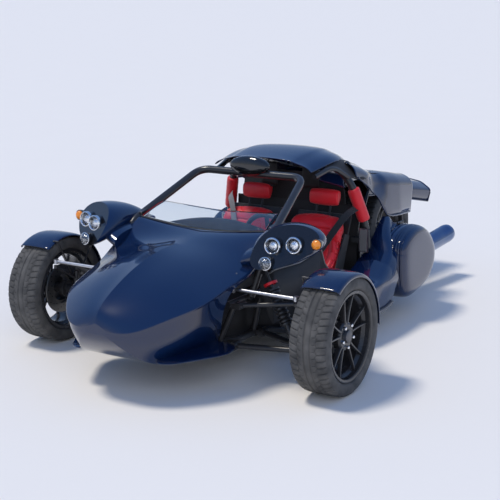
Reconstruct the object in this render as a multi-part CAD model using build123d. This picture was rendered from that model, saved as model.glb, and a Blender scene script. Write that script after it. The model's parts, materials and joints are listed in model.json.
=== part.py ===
# Three wheeled two seat roadster: two steered wheels ahead, one driven wheel behind a motorcycle engine.
# Frame: origin on the ground under the middle of the overall length, front faces -Y, +X is its left, +Z up.
# All sizes in millimetres.
import os
from math import cos, hypot, radians, sin

from build123d import *

os.makedirs("parts", exist_ok=True)

# Overall sizes
LENGTH = 3500.0
WIDTH = 1981.0
WHEELBASE = 2286.0
FRONT_OVERHANG = 745.0
NOSE_Y = -LENGTH / 2
TAIL_Y = LENGTH / 2
AXLE_F = NOSE_Y + FRONT_OVERHANG
AXLE_R = AXLE_F + WHEELBASE
SEAT_GAP = 1.5

# Wheels: 205/40R17 in front, 295/35R18 behind
FRONT_TYRE_R = 299.0
FRONT_TYRE_W = 205.0
FRONT_RIM_R = 216.0
FRONT_RIM_W = 190.0
REAR_TYRE_R = 332.0
REAR_TYRE_W = 295.0
REAR_RIM_R = 228.6
REAR_RIM_W = 276.0
TRACK_HALF = WIDTH / 2 - FRONT_TYRE_W / 2
RIM_WALL = 6.0
FLANGE_H = 12.0
SPOKE_PAIRS = 5
LUG_COUNT = 5
LUG_PCD = 114.3
LUG_R = 6.5
HUB_BORE_R = 32.0
HUB_DEPTH = 34.0
FACE_IN = 14.0
FRONT_SPOKE_DROP = 16.0

# Steering geometry
KINGPIN_LOW = (TRACK_HALF - 123.0, 5.0, 185.0)
KINGPIN_HIGH = (TRACK_HALF - 141.0, 20.0, 428.0)
RACK_AHEAD = 148.0
RACK_Z = 492.0
ROD_END_X = TRACK_HALF - 136.0
STEERING_ARM_GAP = 10.0
TIE_ROD_R = 9.0
EYE_HALF = 12.0
BOOT_IN = 250.0
BOOT_OUT = 400.0

# Main tubes
FRAME_TUBE_R = 19.0
HOOP_TUBE_R = 22.0
ARM_TUBE_R = 15.0
STAY_TUBE_R = 16.0

# Tub and cabin
SKIN = 6.0
FLOOR_Z = 118.0
SEAT_X = 233.0


def at(x, ahead_or_behind, z):
    """Point from an offset in Y behind the front axle."""
    return Vector(x, AXLE_F + ahead_or_behind, z)


def along(start, end, share):
    """Point a share of the way from start to end."""
    return Vector(*start) + (Vector(*end) - Vector(*start)) * share


def both(shape):
    """The shape and its mirror image on the other side."""
    return Part() + shape + mirror(shape, about=Plane.YZ)


def rod(start, end, radius, bore=0.0):
    """Straight round bar from start to end."""
    start = Vector(*start)
    end = Vector(*end)
    run = end - start
    base = Plane(origin=start, z_dir=run)
    align = (Align.CENTER, Align.CENTER, Align.MIN)
    bar = base * Cylinder(radius, run.length, align=align)
    if bore > 0:
        bar = bar - base * Cylinder(bore, run.length, align=align)
    return bar


def tube(points, radius, bend):
    """Round tube along straight runs joined by bends."""
    path = FilletPolyline(*[Vector(*p) for p in points], radius=bend)
    start = Plane(origin=path @ 0, z_dir=path % 0)
    return sweep(start * Circle(radius), path=path)


def block(x0, x1, y0, y1, z0, z1):
    """Box between two corners."""
    size = (abs(x1 - x0), abs(y1 - y0), abs(z1 - z0))
    centre = ((x0 + x1) / 2, (y0 + y1) / 2, (z0 + z1) / 2)
    return Pos(*centre) * Box(*size)


def side_plate(points, x0, x1):
    """Plate cut from a side outline of (behind front axle, height), from x0 to x1."""
    outline = Polyline(*[at(x0, y, z) for y, z in points], close=True)
    return extrude(make_face(outline), amount=x1 - x0, dir=(1, 0, 0))


def arc_strip(stations, shift):
    """Panel lofted through stations of (behind, edge a, crown, edge b), its inner face moved by shift."""
    faces = []
    for behind, a, crown, b in stations:
        outer = ThreePointArc(at(a[0], behind, a[1]), at(crown[0], behind, crown[1]), at(b[0], behind, b[1]))
        low = [(p[0] + shift[0], p[1] + shift[1]) for p in (a, crown, b)]
        inner = ThreePointArc(*[at(x, behind, z) for x, z in low])
        ends = [Line(outer @ 0, inner @ 0), Line(outer @ 1, inner @ 1)]
        faces.append(make_face([outer, inner] + ends))
    return loft(faces)


def inner_line(points, thickness):
    """Line of (x, z) points moved to its right hand side by a thickness, mitred at its corners."""
    moved = []
    for index, point in enumerate(points):
        before = points[max(index - 1, 0)]
        after = points[min(index + 1, len(points) - 1)]
        sides = []
        for start, end in ((before, point), (point, after)):
            run = (end[0] - start[0], end[1] - start[1])
            if hypot(*run) > 0:
                sides.append((run[1] / hypot(*run), -run[0] / hypot(*run)))
        normal = (sum(side[0] for side in sides), sum(side[1] for side in sides))
        share = thickness * len(sides) / (normal[0] ** 2 + normal[1] ** 2)
        moved.append((point[0] + normal[0] * share, point[1] + normal[1] * share))
    return moved


def folded_strip(stations, thickness):
    """Creased panel lofted through stations of (behind, line of (x, z) points from its inner edge out)."""
    faces = []
    for behind, points in stations:
        line = list(points) + list(reversed(inner_line(points, thickness)))
        faces.append(make_face(Polyline(*[at(x, behind, z) for x, z in line], close=True)))
    return loft(faces, ruled=True)


# Wheels

def ring(profile, centre):
    """Solid of revolution about a wheel's axle, from a profile of (across, radius)."""
    plane = Plane(origin=centre, x_dir=(1, 0, 0), z_dir=(0, -1, 0))
    face = plane * make_face(Polyline(*profile, close=True))
    return revolve(face, axis=Axis(centre, (1, 0, 0)))


def tyre(centre, radius, width, rim_radius, rim_width):
    """Hollow tyre: crowned tread, bulged walls and beads inside the rim's flanges."""
    half = width / 2
    tread_half = half - 14.0
    wall = 9.0
    bead_x = rim_width / 2 - 7.0
    bead_r = rim_radius + SEAT_GAP / 3
    over_flange = rim_radius + FLANGE_H + SEAT_GAP
    profile = [
        (-tread_half * 0.55, radius),
        (tread_half * 0.55, radius),
        (tread_half, radius - 4.0),
        (half - 3.0, radius - 16.0),
        (half, (radius + rim_radius) / 2 + 4.0),
        (half - 3.0, over_flange + 6.0),
        (bead_x, over_flange),
        (bead_x, bead_r),
        (bead_x - 18.0, bead_r),
        (bead_x - 12.0, rim_radius + 22.0),
        (half - wall, (radius + rim_radius) / 2),
        (tread_half - wall, radius - 16.0),
    ]
    right = [(-x, r) for x, r in reversed(profile[2:])]
    return ring(profile + right, centre)


def rim(centre, radius, width, out, spoke_drop, pairs, spoke_w):
    """Wheel: barrel with flanges, hub and pairs of slim spokes; out is +1 where the face looks to +X."""
    half = width / 2
    flange = radius + FLANGE_H
    deep = radius - 16.0
    barrel = [
        (-half, flange),
        (-half + 5.0, flange),
        (-half + 6.0, radius),
        (-half + 34.0, radius),
        (-half + 46.0, deep),
        (half - 46.0, deep),
        (half - 34.0, radius),
        (half - 6.0, radius),
        (half - 5.0, flange),
        (half, flange),
        (half, radius - RIM_WALL),
        (half - 34.0, radius - RIM_WALL),
        (half - 46.0, deep - RIM_WALL),
        (-half + 46.0, deep - RIM_WALL),
        (-half + 34.0, radius - RIM_WALL),
        (-half, radius - RIM_WALL),
    ]
    face_x = half - FACE_IN
    hub_x = face_x - spoke_drop
    hub_r = LUG_PCD / 2 + 18.0
    hub_profile = [
        (out * (hub_x - HUB_DEPTH), HUB_BORE_R),
        (out * hub_x, HUB_BORE_R),
        (out * hub_x, hub_r - 6.0),
        (out * (hub_x - 8.0), hub_r),
        (out * (hub_x - HUB_DEPTH), hub_r),
    ]
    body = ring(barrel, centre) + ring(hub_profile, centre)
    spread = 13.0
    inner_r = hub_r - 5.0
    outer_r = radius - RIM_WALL + 2.0
    spokes = []
    for index in range(pairs):
        for side in (-1, 1):
            turn = index * 360 / pairs + side * spread
            a = radians(turn)
            b = radians(index * 360 / pairs + side * spread * 0.9)
            start_x = centre[0] + out * (hub_x - 14.0)
            end_x = centre[0] + out * (face_x - 9.0)
            start = Vector(start_x, centre[1] + inner_r * sin(b), centre[2] + inner_r * cos(b))
            end = Vector(end_x, centre[1] + outer_r * sin(a), centre[2] + outer_r * cos(a))
            base = Plane(origin=start, x_dir=(1, 0, 0), z_dir=end - start)
            tip = Plane(origin=end, x_dir=(1, 0, 0), z_dir=end - start)
            spokes.append(loft([base * Rectangle(24.0, spoke_w + 4.0), tip * Rectangle(14.0, spoke_w)]))
    for spoke in spokes:
        body = body + spoke
    plane = Plane(origin=centre, x_dir=(0, 1, 0), z_dir=(1, 0, 0))
    holes = plane * PolarLocations(LUG_PCD / 2, LUG_COUNT) * Cylinder(LUG_R, 3 * width)
    return body - holes


# Nodes by name, written out at the end
NODES = {}


def keep(name, shape):
    """Remembers one node for export."""
    NODES[name] = shape


# Wheels of both axles
FRONT_CENTRES = {"left": (TRACK_HALF, AXLE_F, FRONT_TYRE_R), "right": (-TRACK_HALF, AXLE_F, FRONT_TYRE_R)}
REAR_CENTRE = (0.0, AXLE_R, REAR_TYRE_R)
SPOKE_W = 13.0

for side, centre in FRONT_CENTRES.items():
    out = 1 if side == "left" else -1
    front_rim = rim(centre, FRONT_RIM_R, FRONT_RIM_W, out, FRONT_SPOKE_DROP, SPOKE_PAIRS, SPOKE_W)
    keep(f"rim_front_{side}", front_rim)
    keep(f"tyre_front_{side}", tyre(centre, FRONT_TYRE_R, FRONT_TYRE_W, FRONT_RIM_R, FRONT_RIM_W))

keep("rim_rear", rim(REAR_CENTRE, REAR_RIM_R, REAR_RIM_W, 1, 60.0, SPOKE_PAIRS, SPOKE_W + 4))
keep("tyre_rear", tyre(REAR_CENTRE, REAR_TYRE_R, REAR_TYRE_W, REAR_RIM_R, REAR_RIM_W))


STAY_ROD_R = 5.0
# Fender stays, left: foot on the post, bend beside the tyre, end over the tread
FENDER_STAYS = (
    ((133.0, 8.0, 350.0), (122.0, -110.0, 593.0), (88.0, -110.0, 593.0)),
    ((133.0, 8.0, 330.0), (122.0, 190.0, 548.0), (88.0, 190.0, 548.0)),
)

# Front brakes: the disc sits on a hat behind the hub, the caliper straddles its rear edge
DISC_R = 140.0
DISC_T = 12.0
DISC_IN = 44.0
HAT_R = 66.0
HAT_WALL = 6.0
BRAKE_GAP = 6.0
CALIPER_REACH = (95.0, 165.0)
CALIPER_HALF_H = 42.0
CALIPER_IN = 84.0
CALIPER_OUT = 18.0


def brake_disc():
    """Left disc and its hat, seated on the back of the wheel's hub."""
    hub_back = FRONT_RIM_W / 2 - FACE_IN - FRONT_SPOKE_DROP - HUB_DEPTH
    profile = [
        (hub_back, HAT_R), (hub_back, HAT_R - HAT_WALL), (-DISC_IN - DISC_T / 2, HAT_R - HAT_WALL),
        (-DISC_IN - DISC_T / 2, DISC_R), (-DISC_IN + DISC_T / 2, DISC_R), (-DISC_IN + DISC_T / 2, HAT_R),
    ]
    return ring(profile, FRONT_CENTRES["left"])


def caliper():
    """Left caliper with a slot for the disc, on a plate from the stub axle."""
    x, y, z = FRONT_CENTRES["left"]
    near, far = CALIPER_REACH
    slot_half = DISC_T / 2 + BRAKE_GAP
    slot = [(-DISC_IN - slot_half, 0.0), (-DISC_IN + slot_half, 0.0),
            (-DISC_IN + slot_half, DISC_R + BRAKE_GAP), (-DISC_IN - slot_half, DISC_R + BRAKE_GAP)]
    grip = block(x - CALIPER_IN, x - CALIPER_OUT, y + near, y + far, z - CALIPER_HALF_H, z + CALIPER_HALF_H)
    plate = block(x - CALIPER_IN, x - CALIPER_IN + 10, y - 20, y + near + 20, z - 20, z + 20)
    return grip - ring(slot, FRONT_CENTRES["left"]) + plate


def knuckle():
    """Left upright: kingpin post, stub axle, steering arm, caliper and the fender's stays."""
    low = at(*KINGPIN_LOW)
    high = at(*KINGPIN_HIGH)
    centre = Vector(*FRONT_CENTRES["left"])
    stub_out = TRACK_HALF + FRONT_RIM_W / 2 - 78.0
    post = rod(along(low, high, 0.09), along(low, high, 0.91), 15.0)
    stub = rod((low.X - 2, AXLE_F, centre.Z), (stub_out, AXLE_F, centre.Z), 26.0)
    flange = rod((TRACK_HALF - 88.0, AXLE_F, centre.Z), (TRACK_HALF - 60.0, AXLE_F, centre.Z), 48.0)
    arm_z = RACK_Z - EYE_HALF - STEERING_ARM_GAP
    arm_end = Vector(ROD_END_X, AXLE_F - RACK_AHEAD, arm_z - 8.0)
    arm = rod(along(low, high, 0.72), arm_end, 8.0) + Pos(*arm_end) * Cylinder(13.0, 16.0)
    body = post + stub + flange + arm + caliper()
    for inside in FENDER_STAYS:
        stay = [(TRACK_HALF - x, y, z) for x, y, z in inside]
        a, b, c = [at(*p) for p in stay]
        body = body + rod(a, b, STAY_ROD_R) + rod(b, c, STAY_ROD_R) + Pos(*b) * Sphere(STAY_ROD_R)
    return body


left_knuckle = knuckle()
keep("knuckle_left", left_knuckle)
keep("knuckle_right", mirror(left_knuckle, about=Plane.YZ))
keep("brake_disc_left", brake_disc())
keep("brake_disc_right", mirror(brake_disc(), about=Plane.YZ))

# Front fenders ride on the knuckles
FENDER_R = FRONT_TYRE_R + 10.0
FENDER_T = 3.5
FENDER_LEAD = 33.0
FENDER_TRAIL = 92.0


def fender():
    """Left cycle fender: a rolled band about the axle, a turned outer lip and two stays."""
    centre = FRONT_CENTRES["left"]
    half = FRONT_TYRE_W / 2
    band = [
        (-half, FENDER_R - 6.0),
        (-half, FENDER_R),
        (-half * 0.5, FENDER_R + 9.0),
        (half * 0.5, FENDER_R + 9.0),
        (half, FENDER_R),
        (half, FENDER_R - 16.0),
        (half - FENDER_T, FENDER_R - 16.0),
        (half - FENDER_T, FENDER_R - FENDER_T),
        (half * 0.5, FENDER_R + 9.0 - FENDER_T),
        (-half * 0.5, FENDER_R + 9.0 - FENDER_T),
        (-half + FENDER_T, FENDER_R - FENDER_T),
        (-half + FENDER_T, FENDER_R - 6.0),
    ]
    plane = Plane(origin=centre, x_dir=(1, 0, 0), z_dir=(0, -1, 0))
    face = plane * make_face(Polyline(*band, close=True))
    axis = Axis(centre, (1, 0, 0))
    sweep_axis = Axis(centre, (-1, 0, 0))
    shell = revolve(face.rotate(axis, FENDER_LEAD), axis=sweep_axis, revolution_arc=FENDER_LEAD + FENDER_TRAIL)
    return shell


left_fender = fender() - left_knuckle
keep("fender_left", left_fender)
keep("fender_right", mirror(left_fender, about=Plane.YZ))

# Steering: rack ahead of the axle with its rods, wheel and column
WHEEL_HUB = (SEAT_X, 480.0, 600.0)
COLUMN_FOOT = (SEAT_X - 25, -40.0, 500.0)
WHEEL_R = 152.0
RIM_TUBE_R = 14.0


def steering_rack():
    """Rack bar with its boots and silver tie rods, and an eye at each end over the steering arms."""
    y = AXLE_F - RACK_AHEAD
    bar = rod((-ROD_END_X, y, RACK_Z), (ROD_END_X, y, RACK_Z), TIE_ROD_R)
    boots = both(rod((BOOT_IN, y, RACK_Z), (BOOT_OUT, y, RACK_Z), 20.0))
    return bar + boots + both(Pos(ROD_END_X, y, RACK_Z) * Cylinder(15.0, 2 * EYE_HALF))


def steering_wheel():
    """Three spoke wheel on its column."""
    hub = at(*WHEEL_HUB)
    foot = at(*COLUMN_FOOT)
    plane = Plane(origin=hub, x_dir=(1, 0, 0), z_dir=hub - foot)
    grip = plane * Torus(WHEEL_R, RIM_TUBE_R)
    boss = plane * Cylinder(38.0, 30.0)
    spoke = Pos(WHEEL_R / 2, 0, 0) * Box(WHEEL_R - 8, 26, 6)
    spokes = [plane * Rot(0, 0, turn) * spoke for turn in (0, 180, 270)]
    column = rod(foot, hub, 11.0)
    return grip + boss + spokes[0] + spokes[1] + spokes[2] + column


keep("steering_rack", steering_rack())
keep("steering_wheel", steering_wheel())

# Front suspension: arms and dampers
# Pivots as (x, behind, z), and how far in their brackets reach
ARM_LOW_PIVOTS = ((345.0, -55.0, 165.0), (345.0, 230.0, 165.0))
ARM_HIGH_PIVOTS = ((400.0, -90.0, 395.0), (400.0, 150.0, 395.0))
LOW_TAB_IN = (238.0, 300.0)
HIGH_TAB_IN = (340.0, 340.0)
SLEEVE_HALF = 26.0
TAB_T = 8.0
DAMPER_TOP = (455.0, 70.0, 540.0)
DAMPER_FOOT = (KINGPIN_LOW[0] - 125.0, 35.0, 215.0)
REAR_DAMPER = ((0.0, 1700.0, 345.0), (0.0, 1668.0, 585.0))


def front_arms():
    """Left lower and upper wishbones: two legs each, meeting at a ball joint."""
    pieces = []
    lower = (KINGPIN_LOW, ARM_LOW_PIVOTS, ARM_TUBE_R)
    upper = (KINGPIN_HIGH, ARM_HIGH_PIVOTS, ARM_TUBE_R - 3)
    for joint, pivots, radius in (lower, upper):
        tip = at(*joint)
        arm = Pos(*tip) * Cylinder(19.0, 16.0)
        for pivot in pivots:
            end = at(*pivot)
            arm = arm + rod(tip, end, radius)
            arm = arm + rod(end - Vector(0, SLEEVE_HALF, 0), end + Vector(0, SLEEVE_HALF, 0), radius + 8)
        pieces.append(arm)
    bracket = at(*DAMPER_FOOT)
    share = (KINGPIN_LOW[0] - DAMPER_FOOT[0]) / (KINGPIN_LOW[0] - ARM_LOW_PIVOTS[0][0])
    ends = [along(at(*KINGPIN_LOW), at(*pivot), share) for pivot in ARM_LOW_PIVOTS]
    cross = rod(ends[0], ends[1], 9.0)
    return pieces[0] + cross + rod(bracket, (bracket.X, bracket.Y, ends[0].Z - 2), 7.0) + pieces[1]


def damper(foot, top, coil_r, turns, pitch):
    """Coil over damper turned about its own axis: can, seats, rod and a coil of shallow turns."""
    run = Vector(*top) - Vector(*foot)
    length = run.length
    can_r = coil_r * 0.55
    core_r = coil_r - 9.0
    start = length * 0.26
    profile = [(0.0, 0.0), (can_r, 0.0), (can_r, start - 10.0), (coil_r, start - 10.0), (coil_r, start)]
    for index in range(turns):
        low = start + index * pitch
        profile += [(core_r, low), (coil_r - 1.0, low + pitch * 0.3), (coil_r - 1.0, low + pitch * 0.65)]
    end = start + turns * pitch
    profile += [(core_r, end), (coil_r, end), (coil_r, end + 9.0)]
    profile += [(9.0, end + 9.0), (9.0, length), (0.0, length)]
    turned = revolve(Plane.XZ * make_face(Polyline(*profile, close=True)), axis=Axis.Z)
    return Plane(origin=foot, z_dir=run) * turned


dampers = both(damper(at(*DAMPER_FOOT), at(*DAMPER_TOP), 34.0, 8, 22.0))
keep("front_arms", both(front_arms()) - dampers)
dampers_all = dampers + damper(at(*REAR_DAMPER[0]), at(*REAR_DAMPER[1]), 36.0, 6, 22.0)

# Tub: hollow cabin box with a bulkhead each end
# Stations of (behind axle, half width at the rim, half width at the floor, floor z, rim z)
TUB_STATIONS = (
    (-430.0, 250.0, 158.0, 190.0, 430.0),
    (255.0, 282.0, 262.0, 122.0, 440.0),
    (470.0, 436.0, 425.0, FLOOR_Z, 335.0),
    (1180.0, 436.0, 425.0, FLOOR_Z, 320.0),
)


TUB_RIM_OVER = 20.0


def cockpit_tub():
    """Open topped tub of floor, sides and two bulkheads, narrow at the pedals."""
    def walls(inset):
        faces = []
        first, last = TUB_STATIONS[0][0], TUB_STATIONS[-1][0]
        for behind, top_half, floor_half, floor_z, rim_z in TUB_STATIONS:
            low = floor_z + inset
            flare = (top_half - floor_half) / (rim_z - floor_z)
            high = rim_z + (TUB_RIM_OVER if inset else 0.0)
            top = top_half + flare * (high - rim_z) - inset
            corners = [(-floor_half + inset, low), (floor_half - inset, low), (top, high), (-top, high)]
            shift = inset if behind == first else -inset if behind == last else 0.0
            faces.append(make_face(Polyline(*[at(x, behind + shift, z) for x, z in corners], close=True)))
        return loft(faces, ruled=True)
    return walls(0.0) - walls(SKIN)


keep("cockpit_tub", cockpit_tub())


# Framed vent beside each seat, carried by the bulkhead
VENT_X = (450.0, 508.0)
VENT_Y = 1172.0
VENT_T = 14.0
VENT_Z = (437.0, 577.0)


def bulkhead():
    """Firewall panel behind the seats with an upper mesh panel under the roof."""
    y0 = TUB_STATIONS[-1][0]
    lower = side_plate([(y0, 130), (y0 + SKIN, 130), (y0 + SKIN + 30, 700), (y0 + 30, 700)], -420, 420)
    upper = side_plate([(y0 + 30, 700), (y0 + 30 + SKIN, 700), (y0 + SKIN, 880), (y0, 880)], -330, 330)
    vents = []
    for side in (-1, 1):
        x0, x1, z0, z1 = [side * VENT_X[0], side * VENT_X[1], VENT_Z[0], VENT_Z[1]]
        vents.append(block(x0, x1, AXLE_F + VENT_Y - VENT_T, AXLE_F + VENT_Y, z0, z1))
        vents.append(block(side * 400, x0, AXLE_F + VENT_Y - VENT_T, AXLE_F + y0 + 24, z0 + 50, z0 + 80))
    return lower + upper + vents[0] + vents[1] + vents[2] + vents[3]


keep("bulkhead", bulkhead())

# Front hoop: legs from the frame towers, bent over the mirror
HOOP_FOOT = (384.0, 40.0, 410.0)
HOOP_KNEE = (446.0, 112.0, 690.0)
HOOP_SHOULDER = (340.0, 668.0, 934.0)


def front_hoop():
    """Roll hoop tube from tower to tower."""
    half = [at(*HOOP_FOOT), at(*HOOP_KNEE), at(*HOOP_SHOULDER)]
    other = [Vector(-p.X, p.Y, p.Z) for p in reversed(half)]
    return tube(half + other, HOOP_TUBE_R, 75.0)


def damper_lug():
    """Left bar from the hoop's leg to the damper's top eye."""
    share = (DAMPER_TOP[2] - HOOP_FOOT[2]) / (HOOP_KNEE[2] - HOOP_FOOT[2])
    leg = along(at(*HOOP_FOOT), at(*HOOP_KNEE), share)
    return rod(leg, at(*DAMPER_TOP), 11.0)


hoop = front_hoop()
keep("front_hoop", hoop + both(damper_lug()) - dampers)

# Nose shell: stations of (behind axle, half width, shoulder z, crest z, floor half width, floor z)
NOSE_STATIONS = (
    (-FRONT_OVERHANG, 105.0, 372.0, 412.0, 80.0, 338.0),
    (-708.0, 186.0, 378.0, 458.0, 130.0, 290.0),
    (-618.0, 283.0, 416.0, 520.0, 190.0, 212.0),
    (-490.0, 367.0, 457.0, 578.0, 225.0, 172.0),
    (-331.0, 408.0, 497.0, 626.0, 240.0, 150.0),
    (-145.0, 434.0, 540.0, 656.0, 250.0, 132.0),
    (40.0, 434.0, 645.0, 674.0, 255.0, 122.0),
    (200.0, 440.0, 722.0, 690.0, 260.0, 112.0),
)
# Outline of the wheel arch in the nose's sides, (behind, height)
ARCH = (
    (-90, 90), (-140, 240), (-205, 330), (-226, 404), (-205, 490), (-150, 545), (40, 590), (230, 640), (230, 90),
)


def nose_solid(inset):
    """Closed loft of the nose, drawn in by inset on every side but the back."""
    faces = []
    last = NOSE_STATIONS[-1][0]
    for behind, half, shoulder, crest, low_half, low_z in NOSE_STATIONS:
        y = behind + inset if behind < last else behind + inset * 2
        w = half - inset
        lw = low_half - inset
        top = crest - inset
        low = low_z + inset
        crown = (w * 0.62, shoulder + (top - shoulder) * 0.62)
        side = ((w + lw) / 2 + w * 0.06, (shoulder + low) / 2)
        left = [
            ThreePointArc(at(0, y, top), at(crown[0], y, crown[1]), at(w, y, shoulder)),
            ThreePointArc(at(w, y, shoulder), at(side[0], y, side[1]), at(lw, y, low)),
        ]
        right = [
            ThreePointArc(at(0, y, top), at(-crown[0], y, crown[1]), at(-w, y, shoulder)),
            ThreePointArc(at(-w, y, shoulder), at(-side[0], y, side[1]), at(-lw, y, low)),
        ]
        floor = Line(at(lw, y, low), at(-lw, y, low))
        faces.append(make_face(left + [floor] + right))
    return loft(faces)


def nose_shell():
    """Hood and nose skin, open behind, with a round wheel arch on each side."""
    shell = nose_solid(0.0) - nose_solid(SKIN)
    return shell - side_plate(ARCH, -WIDTH / 2, WIDTH / 2) - hoop


keep("nose_shell", nose_shell())

# Blades under the nose, one each side
def nose_splitters():
    """Flat blades along the lower edge, wider towards the back."""
    points = [(232, -575), (300, -545), (430, -330), (400, -150), (262, -150), (225, -400)]
    low = [at(x, y, 0) for x, y in points]
    outline = Polyline(*[Vector(p.X, p.Y, 0) for p in low], close=True)
    plate = Pos(0, 0, 206) * extrude(make_face(outline), amount=10.0)
    return both(plate - nose_outer)


nose_outer = nose_solid(0.0)
keep("nose_splitters", nose_splitters())

# Lamp pods: stations of (behind, centre x, centre z, half width, half height)
POD_STATIONS = (
    (-160.0, 540.0, 628.0, 30.0, 16.0),
    (-110.0, 552.0, 645.0, 80.0, 44.0),
    (0.0, 580.0, 695.0, 140.0, 84.0),
    (120.0, 598.0, 716.0, 156.0, 84.0),
    (280.0, 560.0, 700.0, 110.0, 60.0),
    (400.0, 500.0, 672.0, 30.0, 18.0),
)
LAMP_AXIS = (0.10, -1.0, 0.10)
LAMPS = (
    ("inner", 558.0, -38.0, 709.0, 43.0),
    ("outer", 653.0, 6.0, 714.0, 43.0),
    ("fog", 563.0, -121.0, 637.0, 33.0),
)
SIGNAL = (732.0, 88.0, 718.0, 25.0)
LAMP_DEPTH = 70.0
LAMP_PROUD = 6.0
LAMP_FIT = 0.0


def lamp_body(x, behind, z, radius, grow=0.0):
    """Round lamp can set along the lamp axis, its lens just proud of the pod."""
    face = at(x, behind, z)
    back = Vector(*LAMP_AXIS).normalized() * -LAMP_DEPTH
    front = Vector(*LAMP_AXIS).normalized() * LAMP_PROUD
    return rod(face + back, face + front, radius + grow)


def lamp_pods():
    """Left egg shaped pod with pockets for its lamps, cut to the hood's side."""
    faces = []
    for behind, x, z, half_w, half_h in POD_STATIONS:
        plane = Plane(origin=at(x, behind, z), x_dir=(1, 0, 0), z_dir=(0, 1, 0))
        faces.append(plane * Ellipse(half_w, half_h))
    pod = loft(faces) - nose_outer - hoop
    for name, x, behind, z, radius in LAMPS:
        pod = pod - lamp_body(x, behind, z, radius, LAMP_FIT)
    x, behind, z, radius = SIGNAL
    return pod - lamp_body(x, behind, z, radius, LAMP_FIT)


def lamps():
    """Three lamp cans on the left."""
    cans = [lamp_body(x, behind, z, radius) for name, x, behind, z, radius in LAMPS]
    return cans[0] + cans[1] + cans[2]


keep("lamp_pods", both(lamp_pods()))
keep("lamps", both(lamps()))
keep("turn_signals", both(lamp_body(*SIGNAL)))

SCREEN_T = 4.0

# Windscreen between the hoop's legs
SCREEN = (
    (180.0, (-402.0, 726.0), (0.0, 690.0), (402.0, 726.0)),
    (345.0, (-375.0, 790.0), (0.0, 768.0), (375.0, 790.0)),
)
keep("windscreen", arc_strip(SCREEN, (0.0, -SCREEN_T)) - nose_outer - hoop)

# Dash cowl behind the screen: two low humps
DASH = (
    (200.0, (-436.0, 655.0), (0.0, 676.0), (436.0, 655.0)),
    (330.0, (-365.0, 660.0), (0.0, 726.0), (365.0, 660.0)),
    (420.0, (-350.0, 640.0), (0.0, 705.0), (350.0, 640.0)),
)
keep("dash_cowl", arc_strip(DASH, (0.0, -SKIN)) - hoop)

# Mirror on the front of the hoop's top bar
MIRROR_Z = 977.0
MIRROR_STATIONS = ((628.0, 95.0, 36.0), (640.0, 130.0, 57.0), (672.0, 130.0, 57.0))


def mirror_shell():
    """Oval shell with a domed back, seated on the top bar."""
    faces = []
    for behind, half_w, half_h in MIRROR_STATIONS:
        plane = Plane(origin=at(0, behind, MIRROR_Z), x_dir=(1, 0, 0), z_dir=(0, 1, 0))
        faces.append(plane * Ellipse(half_w, half_h))
    return loft(faces) - hoop


keep("mirror", mirror_shell())

# Seats
SEAT_HALF = 176.0


def seat_shell():
    """Left bucket: pan and back in one bent sheet with raised side bolsters."""
    pan = [
        (482, 197), (880, 124), (930, 124), (1145, 640), (1145, 655), (1132, 655), (915, 140), (880, 136), (482, 209),
    ]
    sheet = side_plate(pan, SEAT_X - SEAT_HALF, SEAT_X + SEAT_HALF)
    wing = [(600, 176), (880, 124), (930, 124), (1100, 540), (1040, 560), (880, 290), (640, 250)]
    inner = side_plate(wing, SEAT_X - SEAT_HALF - 8, SEAT_X - SEAT_HALF)
    outer = side_plate(wing, SEAT_X + SEAT_HALF, SEAT_X + SEAT_HALF + 8)
    return sheet + inner + outer


def seat_cushions():
    """Left base pad, back pad and headrest."""
    span = (SEAT_X - SEAT_HALF + 4, SEAT_X + SEAT_HALF - 4)
    base = side_plate([(484, 210), (840, 145), (850, 235), (500, 296)], *span)
    back = side_plate([(862, 150), (910, 146), (1124, 655), (1112, 700), (1066, 690), (862, 245)], *span)
    head = side_plate([(1112, 702), (1160, 702), (1176, 790), (1126, 795)], SEAT_X - 120, SEAT_X + 120)
    return base + back + head


keep("seat_shells", both(seat_shell()))
keep("seat_cushions", both(seat_cushions()))

# Roll cage: main hoop behind the seats, roof rails and stays to the tail
CAGE_FOOT = (507.0, 1246.0, 145.0)
CAGE_ELBOW = (474.0, 1201.0, 592.0)
CAGE_KNEE = (398.0, 1122.0, 875.0)
CAGE_TOP = (250.0, 1095.0, 985.0)
PIVOT = (0.0, 1640.0, 300.0)


def roll_cage():
    """Main hoop with a rail and a stay each side."""
    half = [at(*CAGE_FOOT), at(*CAGE_ELBOW), at(*CAGE_KNEE), at(*CAGE_TOP)]
    other = [Vector(-p.X, p.Y, p.Z) for p in reversed(half)]
    hoop_tube = tube(half + other, HOOP_TUBE_R, 95.0)
    rail = tube([at(392, 1118, 880), at(350, 1000, 955), at(322, 830, 915)], STAY_TUBE_R, 90.0)
    stay = tube([at(395, 1120, 860), at(215, 1700, 560), at(215, 1640, 320)], STAY_TUBE_R, 60.0)
    link = rod(at(213, 1696, 563), at(156, WHEELBASE - 370, 668), 10.0)
    bar = rod(at(-214, 1672, 590), at(214, 1672, 590), 12.0)
    return hoop_tube + both(rail) + both(stay) + both(link) + bar


cage = roll_cage()
PAD_R = 37.0
PAD_FIT = 0.3


def cage_pad():
    """Red sleeve round the left leg of the main hoop."""
    elbow, knee = at(*CAGE_ELBOW), at(*CAGE_KNEE)
    return rod(along(elbow, knee, 0.1), along(elbow, knee, 0.78), PAD_R, HOOP_TUBE_R + PAD_FIT)


keep("cage_pads", both(cage_pad()))

# Lower frame
RAIL = (
    (192.0, -455.0, 222.0), (223.0, -205.0, 176.0), (238.0, -90.0, 170.0), (300.0, 50.0, 165.0),
    (300.0, 262.0, 165.0), (462.0, 440.0, 142.0), (462.0, 1246.0, 142.0),
)


CASE_X0 = 462.0


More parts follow.
